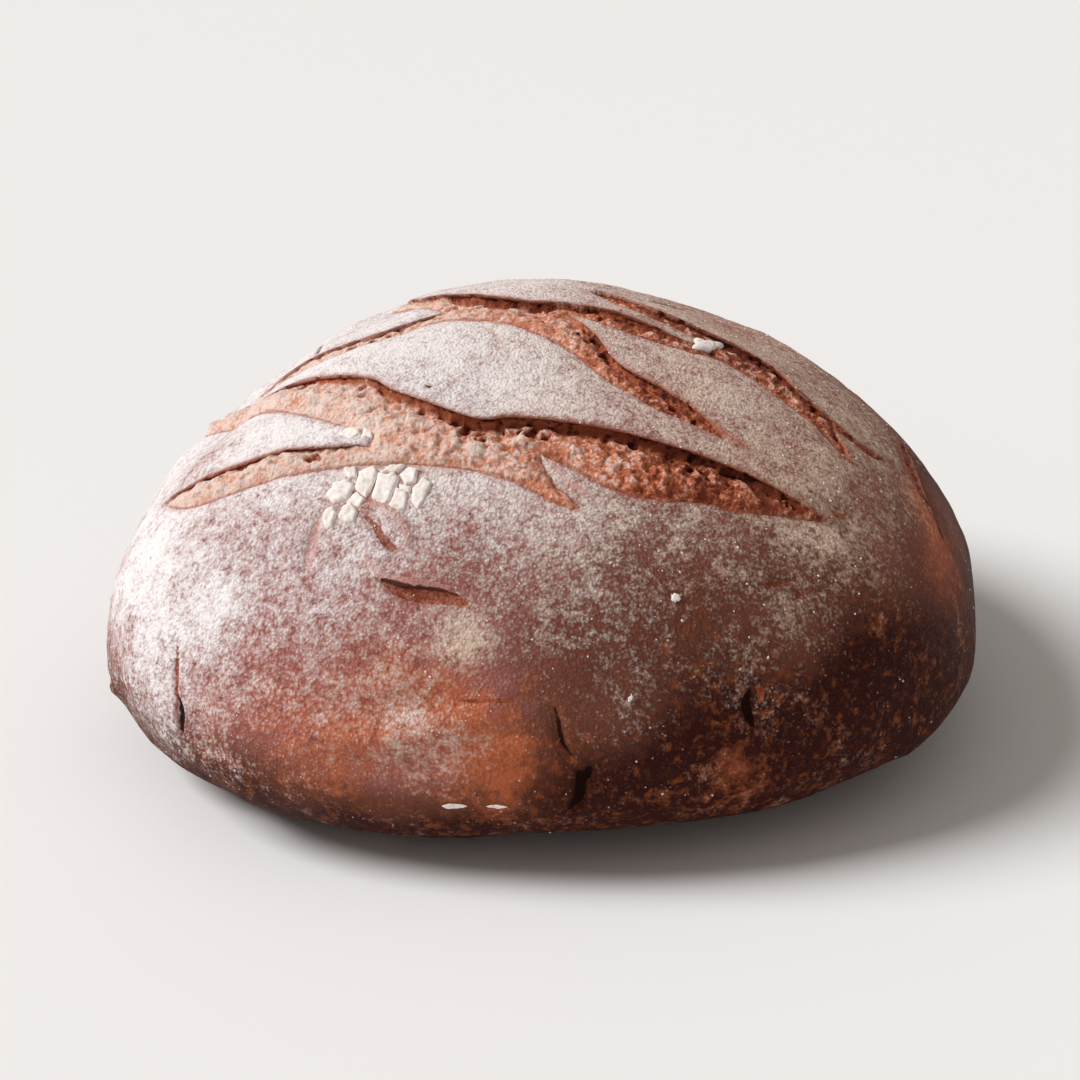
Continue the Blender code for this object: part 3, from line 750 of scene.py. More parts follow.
def close_base(points, faces):
    """Adds rings, each the rim drawn towards the middle, and a fan of triangles to the middle."""
    n = CELLS + 1
    index = np.arange(n * n).reshape(n, n)
    outer = np.concatenate([index[:-1, 0], index[-1, :-1], index[:0:-1, -1], index[0, :0:-1]])
    points = points.copy()
    points[outer, 2] = 0
    rim_points = points[outer]
    middle = rim_points.mean(axis=0)
    parts = [faces]
    after = np.roll(np.arange(len(outer)), -1)
    for share in BASE_RINGS:
        inner = len(points) + np.arange(len(outer))
        points = np.vstack([points, middle + share * (rim_points - middle)])
        parts.append(np.stack([outer, inner[after], outer[after]], 1))
        parts.append(np.stack([outer, inner, inner[after]], 1))
        outer = inner
    points = np.vstack([points, middle])
    parts.append(np.stack([outer, np.full(len(outer), len(points) - 1), outer[after]], 1))
    return points, np.vstack(parts)


crust_points, crust_faces = close_base(crust_points, faces)
print("crust has", len(crust_faces), "triangles")

# %% [markdown]
# ## From arrays to Blender objects
#
# A mesh takes its points and faces as lists. Numbers that the finish will need, such as how much flour lies
# on each point, go in as named attributes, which a shader reads by that name.

# %% Make a piece from arrays
def make_piece(name, points, faces, **fields):
    """Mesh object from arrays, smooth shaded, with each extra array stored as a point attribute."""
    mesh = bpy.data.meshes.new(name)
    mesh.from_pydata(points.tolist(), [], faces.tolist())
    for field, values in fields.items():
        attribute = mesh.attributes.new(field, "FLOAT", "POINT")
        attribute.data.foreach_set("value", np.asarray(values, np.float32))
    mesh.shade_smooth()
    mesh.update()
    piece = bpy.data.objects.new(name, mesh)
    bpy.context.scene.collection.objects.link(piece)
    return piece


# %% [markdown]
# ## Flour and bake
#
# Flour was dusted from above and rubbed thin by hands, so it lies thick on the crown and in soft patches on
# the flanks, and the foot is bare. The bake is darkest at the foot on the right, and orange where the skin
# split late. Both are soft fields: a rule by height and side, plus a few bell-shaped patches. Painting by
# hand could do the same, but patches can be moved by a number.

# %% Flour and bake fields
# Place in the picture, radius in millimetres, amount
FLOUR_PATCHES = [
    ((140, 560), 16, 0.1), ((155, 650), 13, 0.22), ((215, 600), 9, 0.18), ((350, 590), 12, 0.1),
    ((466, 640), 8, 0.62), ((400, 630), 9, 0.2), ((330, 700), 15, 0.22), ((430, 735), 12, 0.15),
    ((600, 610), 14, 0.12), ((800, 620), 10, 0.2), ((820, 540), 11, 0.34), ((810, 470), 14, 0.3),
    ((860, 430), 14, 0.28), ((800, 350), 16, 0.12), ((720, 340), 16, 0.25), ((650, 305), 14, 0.2),
    ((560, 520), 12, 0.12), ((250, 680), 14, 0.06), ((450, 545), 9, -0.14), ((265, 600), 8, -0.12),
    ((205, 535), 12, -0.3), ((265, 550), 14, -0.22), ((420, 742), 14, 0.33), ((466, 640), 5, 0.25),
    ((350, 700), 14, 0.1), ((200, 470), 14, -0.38), ((620, 720), 9, 0.12), ((490, 525), 8, 0.12),
    ((720, 410), 16, 0.16), ((380, 525), 15, 0.22), ((165, 725), 10, 0.15), ((385, 488), 8, -0.4),
    ((290, 430), 16, 0.15), ((880, 560), 12, 0.1), ((470, 695), 8, -0.15), ((880, 700), 18, -0.1),
    ((700, 800), 20, -0.12), ((350, 500), 6, -0.25), ((330, 370), 12, 0.1),
]
# Place in the picture, radius in millimetres, amount towards cream
CREAM_PATCHES = [((466, 640), 9, 0.6), ((400, 720), 24, 0.5), ((390, 490), 12, 0.35)]
# Place in the picture, radius in millimetres, amount towards orange
ORANGE_PATCHES = [
    ((420, 735), 14, 0.7), ((350, 705), 14, 0.45), ((475, 745), 14, 0.35), ((200, 735), 10, 0.5),
    ((280, 785), 10, 0.08), ((520, 760), 12, 0.22), ((450, 700), 7, 0.25), ((330, 765), 12, 0.4),
    ((780, 700), 4, 0.3), ((400, 670), 12, 0.3), ((150, 690), 10, 0.2), ((480, 795), 10, 0.45),
    ((845, 701), 3, 0.3), ((718, 768), 3, 0.1), ((260, 700), 14, 0.35), ((915, 500), 7, 0.5),
    ((932, 530), 6, 0.5), ((955, 530), 10, 0.4), ((935, 460), 8, 0.3), ((870, 410), 5, 0.4),
    ((940, 570), 12, 0.35),
]
# Place in the picture, radius in millimetres, amount towards the darkest bake
DARK_PATCHES = [
    ((800, 650), 12, -0.22), ((620, 720), 12, -0.15), ((940, 560), 22, -0.35), ((880, 560), 12, -0.2),
    ((420, 735), 18, -0.6), ((330, 700), 20, -0.25), ((440, 826), 9, 0.2), ((870, 720), 22, 0.28),
    ((700, 800), 20, 0.3), ((945, 560), 10, -0.2), ((955, 520), 12, -0.4), ((250, 790), 9, 0.3),
    ((350, 818), 9, 0.35), ((480, 832), 8, 0.3), ((195, 765), 8, 0.2), ((530, 760), 12, 0.12),
]


def patches(points, listed):
    """Sum of soft bells: each amount times the bell of the distance to its place over its radius."""
    total = np.zeros(len(points))
    for place, (_, radius, amount) in zip(places_seen([entry[0] for entry in listed]), listed):
        distance = np.linalg.norm(points - place, axis=1)
        total += amount * np.exp(-((distance / (radius * MM)) ** 2))
    return total


def paint(points):
    """Flour, its cream tone, orange and dark bake over the points, each from 0 to 1.

    Flour rises with height from a bare foot, and the bare part reaches higher to the right. Bake rises towards
    the foot and to the right in two S-shaped steps.
    """
    height = points[:, 2] / HEIGHT
    right = points[:, 0] / HALF_WIDTH
    to_left = smooth_step(-0.35, -0.85, right)
    on_crown = 0.97 - 0.40 * smooth_step(-0.2, 0.4, right) + 0.12 * smooth_step(0.4, 0.7, right)
    low, high = 0.40 - 0.48 * to_left, 0.95 - 0.27 * to_left
    flour = on_crown * smooth_step(0, 1, (height - low) / (high - low))
    flour += 0.11 * roughness(points, 24, 21) + 0.09 * roughness(points, 9, 22) + patches(points, FLOUR_PATCHES)
    flour *= smooth_step(0.02, 0.15, height)
    # Cream rises towards the right, the shaded flank: partly the flour's own tone and partly painted warm shade
    cream = smooth_step(-0.5, 0.7, right) + 0.15 * roughness(points, 17, 25) + patches(points, CREAM_PATCHES)
    orange = patches(points, ORANGE_PATCHES)
    orange = orange * (1 + 0.45 * roughness(points, 11, 26)) + 0.10 + 0.12 * roughness(points, 14, 23)
    to_right = smooth_step(-0.5, 0.3, right)
    foot = smooth_step(0.42, 0.16, height - 0.25 * np.maximum(right, 0))
    dark = 0.7 * smooth_step(1.0, 0.40, height) * to_right + (0.6 - 0.3 * to_right) * foot
    dark += 0.45 * (1 - 0.5 * to_right) * smooth_step(0.17, 0.06, height)
    dark += 0.08 * roughness(points, 16, 24) + patches(points, DARK_PATCHES)
    return [np.clip(field, 0, 1) for field in (flour, cream, orange, dark)]


extra = len(crust_points) - len(nodes)
flour, cream, orange, dark = paint(crust_points)
rim = np.concatenate([rim, np.zeros(extra)])
in_notch = np.concatenate([in_notch, np.zeros(extra)])
strokes = {tone: np.concatenate([edge, np.full(extra, FAR)]) for tone, edge in strokes.items()}
bake = {"flour": flour, "cream": cream, "orange": orange, "dark": dark}
crust = make_piece("crust", crust_points, crust_faces, rim=rim, notch=in_notch, **strokes, **bake)
print("mean flour", round(float(flour.mean()), 2))

# %% [markdown]
# ## Torn crumb
#
# Under each lip the dough tore while it rose, and the torn face baked into rough, red-brown crumb with
# holes under the lip. It is a separate closed piece in each notch, with cells of half a millimetre. Its top is
# hollow below the lip and swells up to the seam. Its edges are tucked under the crust, so the two meet with no
# gap from any side.

# %% Crumb pieces
# Cell and border on the square, whose side is 2
CRUMB_CELL = 0.0021
CRUMB_BORDER = 0.02
CRUMB_MARGIN = 1.8 * MM
# Depth of the hollow and height of the swell in millimetres, and share of the tearing
CRUMB_FORM = {
    "front": (2.1, 1.8, 1.0),
    "crown": (3.4, 1.5, 0.9),
    "side": (1.2, 0.0, 0.25),
    "rear": (3.0, 1.4, 0.8),
}
# Height and size of the torn lumps in millimetres
TEARS = ((0.55, 6), (0.50, 2.6), (0.42, 1.3), (0.26, 0.75))
CRUST_THICKNESS = 1.3 * MM
TORN_WALL = 1.5 * MM
CRUMB_FULL_WIDTH = 11 * MM
CRUMB_BOTTOM = 10.5 * MM
CRUMB_WOBBLE = 0.8 * MM


def grid_round(ring):
    """Nodes of a fine grid over the ring's box and a border round it, and the grid's shape."""
    low = ring.min(axis=0) - CRUMB_BORDER
    high = ring.max(axis=0) + CRUMB_BORDER
    counts = np.ceil((high - low) / CRUMB_CELL).astype(int)
    rows = [start + CRUMB_CELL * np.arange(count) for start, count in zip(low, counts)]
    a, b = np.meshgrid(*rows, indexing="ij")
    return np.stack([a.ravel(), b.ravel()], -1), a.shape


def pits(points, lip_gap, room, seed):
    """Depth of the round holes torn open under a lip: bowls at seeded points, a few large and many small.

    They gather where a slow random field is high, so they come in clusters with bare stretches between.
    """
    rng = np.random.default_rng(seed)
    reach = 5.5 * MM * (0.7 + 0.6 * roughness(points, 14, seed))
    clustered = roughness(points, 8, seed + 1) > -0.25
    band = np.flatnonzero((lip_gap > 0.3 * MM) & (lip_gap < reach) & (room > 4 * MM) & clustered)
    depth = np.zeros(len(points))
    if not len(band):
        return depth
    for place in rng.choice(band, max(4, len(band) // 45)):
        radius = (0.35 + 1.3 * rng.uniform() ** 2.5) * MM
        near = np.flatnonzero(np.abs(points - points[place]).max(axis=1) < 2 * radius)
        gap = np.linalg.norm(points[near] - points[place], axis=1)
        bowl = 1.6 * radius * smooth_step(1.15, 0.5, gap / radius)
        depth[near] = np.maximum(depth[near], bowl)
    return depth


def crumb_piece(name, seed):
    """Closed piece of crumb for one opening: a rough top, a smooth bottom and a wall between their rims."""
    grid, shape = grid_round(RINGS[name])
    points = body_point(*grid.T)
    within = inside(grid, RINGS[name])
    near = within.reshape(shape).copy()
    for _ in range(int(CRUMB_MARGIN / MM * 3) + 2):
        near[1:-1, 1:-1] |= near[:-2, 1:-1] | near[2:, 1:-1] | near[1:-1, :-2] | near[1:-1, 2:]
    near = near.ravel()
    lip_gap, seam_gap = np.full(len(grid), 1.0), np.full(len(grid), 1.0)
    lip_height = np.zeros(len(grid))
    lip_gap[near], seam_gap[near], lip_height[near], _ = cut_field(points[near], name)
    edge_gap = np.minimum(lip_gap, seam_gap)
    kept = within | (edge_gap < CRUMB_MARGIN)
    width = lip_gap + seam_gap
    deep = np.minimum(width / CRUMB_FULL_WIDTH, 1)
    rise = np.clip(lip_gap / np.maximum(width, 1e-9), 0, 1)
    rise = np.where(within, rise, np.where(lip_gap < seam_gap, 0, 1))
    hollow_depth, crumb_swell, tearing = CRUMB_FORM[name]
    hollowed = stand(points)
    floor = deep * (crumb_swell * np.sin(math.pi * rise) - hollow_depth * hollowed * (1 - rise) ** 1.5) * MM
    under_lip = lip_height - CRUST_THICKNESS * (0.4 + 0.6 * deep)
    wall = smooth_step(TORN_WALL * (0.3 + 0.7 * deep), 0.25 * MM, lip_gap)
    floor = floor + wall * np.maximum(under_lip - floor, 0)
    tear = sum(height * roughness(points, size, seed + k) for k, (height, size) in enumerate(TEARS)) * MM
    tear *= tearing * (0.45 + 0.55 * deep) * (0.45 + 0.55 * hollowed)
    hole = np.where(within, pits(points, lip_gap, width, seed + 4), 0)
    tuck = 0.7 * MM * smooth_step(3 * MM, 0, seam_gap) + np.where(within, 0, 1.3 * edge_gap)
    swell = waves(points) - dents(points)
    level = floor + tear - tuck - hole + swell
    body = body_normal(*grid.T)
    top = points + level[:, None] * body
    wobble = np.stack([roughness(top, 1.9, seed + 5 + axis) for axis in range(3)], -1)
    top += (CRUMB_WOBBLE * tearing * deep * within * smooth_step(0.3 * MM, 3 * MM, seam_gap))[:, None] * wobble
    bottom = points + (swell - CRUMB_BOTTOM)[:, None] * body

    index = np.arange(shape[0] * shape[1]).reshape(shape)
    corners = np.stack([index[:-1, :-1], index[1:, :-1], index[1:, 1:], index[:-1, 1:]], -1).reshape(-1, 4)
    quads = corners[kept[corners].all(axis=1)]
    ends = np.concatenate([quads[:, [i, (i + 1) % 4]] for i in range(4)])
    key = ends[:, 0] * index.size + ends[:, 1]
    back = ends[:, 1] * index.size + ends[:, 0]
    rim_ends = ends[~np.isin(key, back)]
    used, renumbered = np.unique(quads, return_inverse=True)
    quads = renumbered.reshape(-1, 4)
    rim_ends = np.searchsorted(used, rim_ends)
    count = len(used)
    wall = np.column_stack([rim_ends[:, 1], rim_ends[:, 0], rim_ends[:, 0] + count, rim_ends[:, 1] + count])
    all_points = np.vstack([top[used], bottom[used]])
    all_faces = np.vstack([quads, quads[:, ::-1] + count, wall])
    # Where the crumb is painted as shade: in its pits, and in a band below the lip that is wider where the lip
    # stands high
    band = (0.6 + 2.8 * hollowed) * MM
    hollow_shade = np.clip(hole / (1.0 * MM) + 0.9 * smooth_step(band, 0.6 * MM, lip_gap) * deep, 0, 1)
    floured = paint(points)[0]
    fields = {
        "hollow_shade": np.tile(hollow_shade[used], 2),
        "proud": np.tile((tear / MM)[used], 2),
        "edge": np.tile(seam_gap[used] / MM, 2),
        "flour": np.tile(floured[used], 2),
    }
    return make_piece("crumb_" + name, all_points, all_faces, **fields)


crumbs = {name: crumb_piece(name, 40 + 10 * number) for number, name in enumerate(OPENINGS)}
for name, piece in crumbs.items():
    print("crumb in the", name, "opening:", 2 * len(piece.data.polygons), "triangles")

# %% [markdown]
# ## Shader maths as Python
#
# A finish is a graph of nodes. To keep it readable, a small class wraps a socket so that plus, minus and
# times add their Math nodes, and one method adds any other node.

# %% Shader helpers
class Wire:
    """One output socket in a node tree. Arithmetic on it adds Math nodes and gives a new wire."""

    def __init__(self, graph, socket):
        self.graph = graph
        self.socket = socket

    def _math(self, operation, first, second):
        return self.graph.node("ShaderNodeMath", {"operation": operation}, {0: first, 1: second})

    def __add__(self, other):
        return self._math("ADD", self, other)

    def __sub__(self, other):
        return self._math("SUBTRACT", self, other)

    def __rsub__(self, other):
        return self._math("SUBTRACT", other, self)

    def __mul__(self, other):
        return self._math("MULTIPLY", self, other)

    __radd__ = __add__
    __rmul__ = __mul__


class Graph:
    """The nodes of one material."""

    def __init__(self, name):
        self.material = bpy.data.materials.new(name)
        self.material.use_nodes = True
        self.tree = self.material.node_tree
        self.shader = self.tree.nodes["Principled BSDF"]
        self.place = self.node("ShaderNodeTexCoord", {}, {}, "Object")

    def node(self, kind, settings, inputs, output=0):
        """Adds a node: its settings first, then values or links on its sockets. Returns the named output."""
        made = self.tree.nodes.new(kind)
        for key, value in settings.items():
            setattr(made, key, value)
        for key, value in inputs.items():
            self.set(made.inputs[key], value)
        return Wire(self, made.outputs[output])

    def set(self, socket, value):
        if isinstance(value, Wire):
            self.tree.links.new(value.socket, socket)
        elif isinstance(value, tuple) and len(value) == 3 and socket.type == "RGBA":
            socket.default_value = (*value, 1)
        else:
            socket.default_value = value

    def field(self, name):
        """A point attribute of the mesh."""
        return self.node("ShaderNodeAttribute", {"attribute_name": name}, {}, "Fac")

    def noise(self, size, detail=2.0, rough=0.5):
        """Noise from 0 to 1 whose largest bumps have this size in millimetres."""
        scale = 1 / (size * MM)
        inputs = {"Vector": self.place, "Scale": scale, "Detail": detail, "Roughness": rough}
        return self.node("ShaderNodeTexNoise", {}, inputs, "Fac")

    def cells(self, size):
        """Distance to the nearest of points scattered this far apart in millimetres, in cell widths."""
        inputs = {"Vector": self.place, "Scale": 1 / (size * MM)}
        return self.node("ShaderNodeTexVoronoi", {}, inputs, "Distance")

    def step(self, value, low, high):
        """Smooth step of a wire: 0 at the low bound and 1 at the high one."""
        inputs = {"Value": value, "From Min": low, "From Max": high}
        return self.node("ShaderNodeMapRange", {"interpolation_type": "SMOOTHSTEP"}, inputs)

    def larger(self, first, second):
        """The larger of two values."""
        return self.node("ShaderNodeMath", {"operation": "MAXIMUM"}, {0: first, 1: second})

    def mix(self, share, first, second):
        """Colour between two colours."""
        return self.node("ShaderNodeMix", {"data_type": "RGBA"}, {0: share, 6: first, 7: second}, 2)

    def bump(self, height, strength, depth, normal=None):
        """Tilts the normal by a height field of this depth in metres, on top of an earlier bump."""
        inputs = {"Height": height, "Strength": strength, "Distance": depth}
        if normal:
            inputs["Normal"] = normal
        return self.node("ShaderNodeBump", {}, inputs)

    def finish(self, **sockets):
        """Sets the shader's own sockets, named with _ for a space, and returns the material."""
        for name, value in sockets.items():
            self.set(self.shader.inputs[name.replace("_", " ")], value)
        return self.material


# %% [markdown]
# ## The floured crust
#
# Under the flour the skin goes from rosy brown, where the flour kept it cool, to brown and to mahogany at the
# foot, and it is orange where it split late. Flour is a fine powder: where it is thin it shows as pale grains,
# and where it is thick they close up. So the flour field is added to fine noise and read through a soft
# step. Towards the right and in a few patches the flour turns cream, partly its own tone and partly painted
# warm shade. The cracks are read from their distance field, which gives a crisp edge, and the insides of
# cracks and holes are painted near black as shade. A thin dark crease of painted shade is drawn where a torn
# groove meets a bare ridge, and the crust inside a notch is painted dark as shade under the crumb.

# %% Crust finish
ROSE = (0.40, 0.140, 0.118)
BROWN = (0.180, 0.060, 0.038)
MAHOGANY = (0.040, 0.007, 0.005)
ORANGE = (0.56, 0.145, 0.058)
RUST = (0.26, 0.070, 0.020)
BARE = (0.60, 0.27, 0.22)
FLOUR = (0.93, 0.88, 0.88)
CREAM = (0.78, 0.595, 0.465)
RIM = (0.42, 0.115, 0.060)
TORN = (0.24, 0.055, 0.020)
# The next two colours are painted shade: dark for notches and creases, near black for cracks and holes
CAVITY_SHADE = (0.055, 0.015, 0.009)
CRACK_SHADE = (0.018, 0.006, 0.004)


def crust_finish():
    g = Graph("floured crust")
    flour, cream, orange, dark = g.field("flour"), g.field("cream"), g.field("orange"), g.field("dark")
    rim, notch = g.field("rim"), g.field("notch")
    cloud = g.noise(12, 2) - 0.5
    mottle = g.noise(5, 6, 0.68) - 0.5
    speckle = g.noise(1.6, 5, 0.74) - 0.5
    pebble = 0.45 - g.cells(0.85)
    bake = dark + mottle * 0.9 + cloud * 0.2 + speckle * 0.8
    skin = g.mix(g.step(bake, 0.0, 0.5), ROSE, BROWN)
    skin = g.mix(g.step(bake, 0.42, 0.98), skin, MAHOGANY)
    skin = g.mix(g.step(orange + mottle * 2.0 + cloud * 0.4 + speckle * 0.8, 0.15, 1.05) * 0.9, skin, ORANGE)
    skin = g.mix(g.step(speckle + mottle * 0.5, 0.0, -0.30) * 0.5, skin, MAHOGANY)
    blotch = g.step(g.noise(2.4, 5, 0.66) + cloud * 0.25, 0.50, 0.68) * g.step(dark, 0.35, 0.8)
    skin = g.mix(blotch * 0.75, skin, RUST)
    cover = flour + mottle * 1.30 + cloud * 0.35
    powder = g.step(cover + speckle * 1.9 + pebble * 0.45, 0.02, 1.06)
    powder = powder * g.step(flour + cloud * 0.4, -0.06, 0.16)
    crumbs_of_flour = g.step(g.cells(1.9) + speckle * 0.5, 0.16, 0.06)
    crumbs_of_flour = crumbs_of_flour * g.step(mottle + flour * 0.3, -0.02, 0.12)
    dusting = g.step(speckle * 2.4 + pebble * 0.8 + flour * 0.3 - dark * 0.35, -0.05, 0.55)
    powder = g.larger(g.larger(powder, crumbs_of_flour * 0.6), dusting * 0.36)
    inside_of = {tone: g.step(g.field(tone) + speckle * 0.6, 0.14, -0.14) for tone in TONES}
    # Thin dark line where a torn groove meets a bare ridge: painted shade under the ridge
    crease_shade = g.step(g.field("rose"), 0.55, 0.15) * inside_of["torn"]
    beside = g.step(g.field("shaded_crack"), 1.1, 0.2)
    powder = powder * (1 - g.step(notch, 0.05, 0.5)) * (1 - rim * 0.85) * (1 - beside * 0.45)
    powder = powder * (1 - inside_of["torn"] * 0.85) * (1 - inside_of["rose"] * 0.45)
    colour = g.mix(g.step(rim, 0.15, 0.7), skin, RIM)
    colour = g.mix(inside_of["torn"], colour, g.mix(g.step(speckle + mottle, -0.15, 0.15), TORN, RIM))
    colour = g.mix(inside_of["rose"] * 0.9, colour, BARE)
    # Flour colour: white, turning cream on the right and in patches, partly painted warm shade
    colour = g.mix(powder, colour, g.mix(cream, FLOUR, CREAM))
    # Crust inside a notch, under the crumb, painted dark as shade
    colour = g.mix(g.step(notch, 0.3, 0.9), colour, CAVITY_SHADE)
    colour = g.mix(crease_shade * 0.9, colour, CAVITY_SHADE)
    # Insides of cracks and holes painted near black: painted shade
    colour = g.mix(inside_of["shaded_crack"] * 0.95, colour, CRACK_SHADE)
    bumps = g.bump(g.noise(2.4, 3, 0.6), 0.55, 0.6 * MM)
    bumps = g.bump(speckle * 1.3 + pebble * 0.75 + powder * 0.25, 0.9, 0.5 * MM, bumps)
    rough = 0.60 + powder * 0.35
    return g.finish(Base_Color=colour, Roughness=rough, Specular_IOR_Level=0.07, Normal=bumps)


crust.data.materials.append(crust_finish())
print("crust finish has", len(crust.data.materials[0].node_tree.nodes), "nodes")

# %% [markdown]
# ## The crumb
#
# Torn crumb is red-brown and golden orange, and the peaks of its torn lumps caught flour. Its colour also
# follows how proud each lump stands: darker in the valleys, as painted shade, and paler on the peaks, as
# painted highlight. Fine noise adds the tearing that is smaller than a cell. Under each lip the torn wall is
# orange-red on the left and painted dark with the lip's shade towards the right, and the holes there are
# painted near black as shade. Towards the left the cuts opened early, and their crumb baked paler.

# %% Crumb finish
CRUMB = (0.74, 0.205, 0.078)
# Red-brown of the crumb, also painted as shade in its valleys and under the lips
CRUMB_RED = (0.23, 0.045, 0.020)
CRUMB_PALE = (0.97, 0.64, 0.50)
CRUMB_DUST = (0.96, 0.83, 0.77)
# Painted shade: near black for the crumb's holes
HOLE_SHADE = (0.045, 0.013, 0.006)
TORN_LIP = (0.55, 0.140, 0.055)


def crumb_finish():
    g = Graph("torn crumb")
    hollow_shade, proud, edge, flour = g.field("hollow_shade"), g.field("proud"), g.field("edge"), g.field("flour")
    blotch = g.noise(3.0, 6, 0.68) - 0.5
    fine = g.noise(1.3, 5, 0.76) - 0.5
    pebble = 0.45 - g.cells(0.9)
    place = g.node("ShaderNodeSeparateXYZ", {}, {0: g.place}, "X")
    left = g.step(place + blotch * 0.05, 0.028, -0.055)
    right = g.step(place, -0.005, 0.045)
    # Random tone, plus painted shade in the valleys and painted highlight on the peaks by how proud each lump
    # stands
    tone_and_relief_shade = fine * 2.2 + blotch * 1.7 + pebble * 0.35 + proud * 0.35 + left * 0.62 - right * 0.28
    colour = g.mix(g.step(tone_and_relief_shade, -0.55, 0.12), CRUMB_RED, CRUMB)
    colour = g.mix(g.step(tone_and_relief_shade, 0.05, 0.75) * 0.85, colour, CRUMB_PALE)
    colour = g.mix(left * 0.4, colour, CRUMB_PALE)
    # Below the lip: torn orange-red wall on the left, and painted dark shade of the lip towards the right
    under = g.step(hollow_shade + fine * 0.9, 0.35, 1.0)
    colour = g.mix(under, colour, g.mix(left, CRUMB_RED, TORN_LIP))
    # Holes under the lip painted near black as shade; the bump below gives them relief
    holes = g.step(g.cells(2.4) + fine * 0.5, 0.38, 0.24) * g.step(hollow_shade, 0.25, 0.6) * (1 - left * 0.6)
    colour = g.mix(holes * 0.9, colour, HOLE_SHADE)
    dusty = fine * 1.8 + pebble * 0.5 + blotch * 1.2 + proud * 0.3 + flour * 0.5 + left * 0.2 - hollow_shade * 0.6
    dust = g.step(dusty, 0.25, 0.80)
    colour = g.mix(dust * 0.7, colour, CRUMB_DUST)
    colour = g.mix(g.step(edge, 0.9, 0.3) * 0.6, colour, RIM)
    bumps = g.bump(g.noise(2.2, 3, 0.6), 0.7, 0.9 * MM)
    bumps = g.bump(fine * 1.6 + pebble * 0.6 - holes * 0.9, 0.95, 0.65 * MM, bumps)
    return g.finish(Base_Color=colour, Roughness=0.55 + dust * 0.3, Specular_IOR_Level=0.2, Normal=bumps)


crumb_material = crumb_finish()
for piece in crumbs.values():
    piece.data.materials.append(crumb_material)
print("crumb finish on", len(crumbs), "pieces")

# %% [markdown]
# ## Clumps and grains of flour
#
# Where wet flour gathered it dried into a few thin cakes, cracked apart like mud, and a sharp flake stands at
# the tip of one cut. Each cake is a flat plate inside an angular outline, with a crumbling side. Loose flour
# also lies as single grains; at half a millimetre they are worth real shape, because they catch the light,
# and eight faces each are enough.

# %% Clumps and grains
# Outline in the picture, and thickness in millimetres
CAKES = [
    ([(327, 497), (334, 484), (350, 480), (354, 490), (347, 500), (335, 503)], 0.8),
    ([(356, 490), (359, 472), (373, 466), (377, 474), (372, 488), (366, 498)], 0.8),
    ([(371, 497), (379, 475), (394, 473), (398, 480), (391, 498), (385, 505)], 0.9),
    ([(388, 507), (396, 489), (407, 494), (405, 510), (397, 514)], 0.7),
    ([(400, 474), (408, 467), (417, 470), (415, 482), (406, 485)], 0.6),
    ([(411, 503), (413, 488), (422, 478), (431, 482), (424, 500), (418, 508)], 0.6),
    ([(344, 470), (356, 467), (357, 478), (349, 479)], 0.6),
    ([(381, 472), (390, 466), (404, 465), (398, 472)], 0.5),
    ([(347, 503), (356, 492), (365, 500), (360, 508)], 0.5),
    ([(399, 484), (410, 487), (409, 493), (400, 490)], 0.5),
    ([(323, 522), (326, 511), (334, 508), (337, 514), (333, 528), (326, 530)], 0.8),
    ([(339, 519), (344, 507), (351, 503), (358, 514), (354, 522), (345, 523)], 0.8),
    ([(338, 434), (346, 428), (356, 427), (360, 433), (352, 439), (342, 440)], 0.6),
    ([(362, 437), (364, 428), (371, 430), (372, 438)], 0.5),
    ([(441, 806), (449, 804), (459, 804), (467, 806), (458, 808), (448, 808)], 0.3),
    ([(486, 805), (496, 803), (507, 805), (497, 807)], 0.3),
    ([(671, 597), (674, 594), (679, 596), (680, 601), (675, 603), (671, 601)], 0.4),
    ([(628, 698), (631, 696), (633, 699), (631, 703), (628, 702)], 0.4),
    ([(693, 343), (700, 344), (712, 346), (722, 348), (716, 353), (704, 354), (693, 353)], 0.7),
]
CAKE_RINGS = 10
SIDE_STEPS = 6
CAKE_ROOT = 1.2 * MM
GRAINS = 2600
GRAIN_SIZES = (0.12, 0.36)


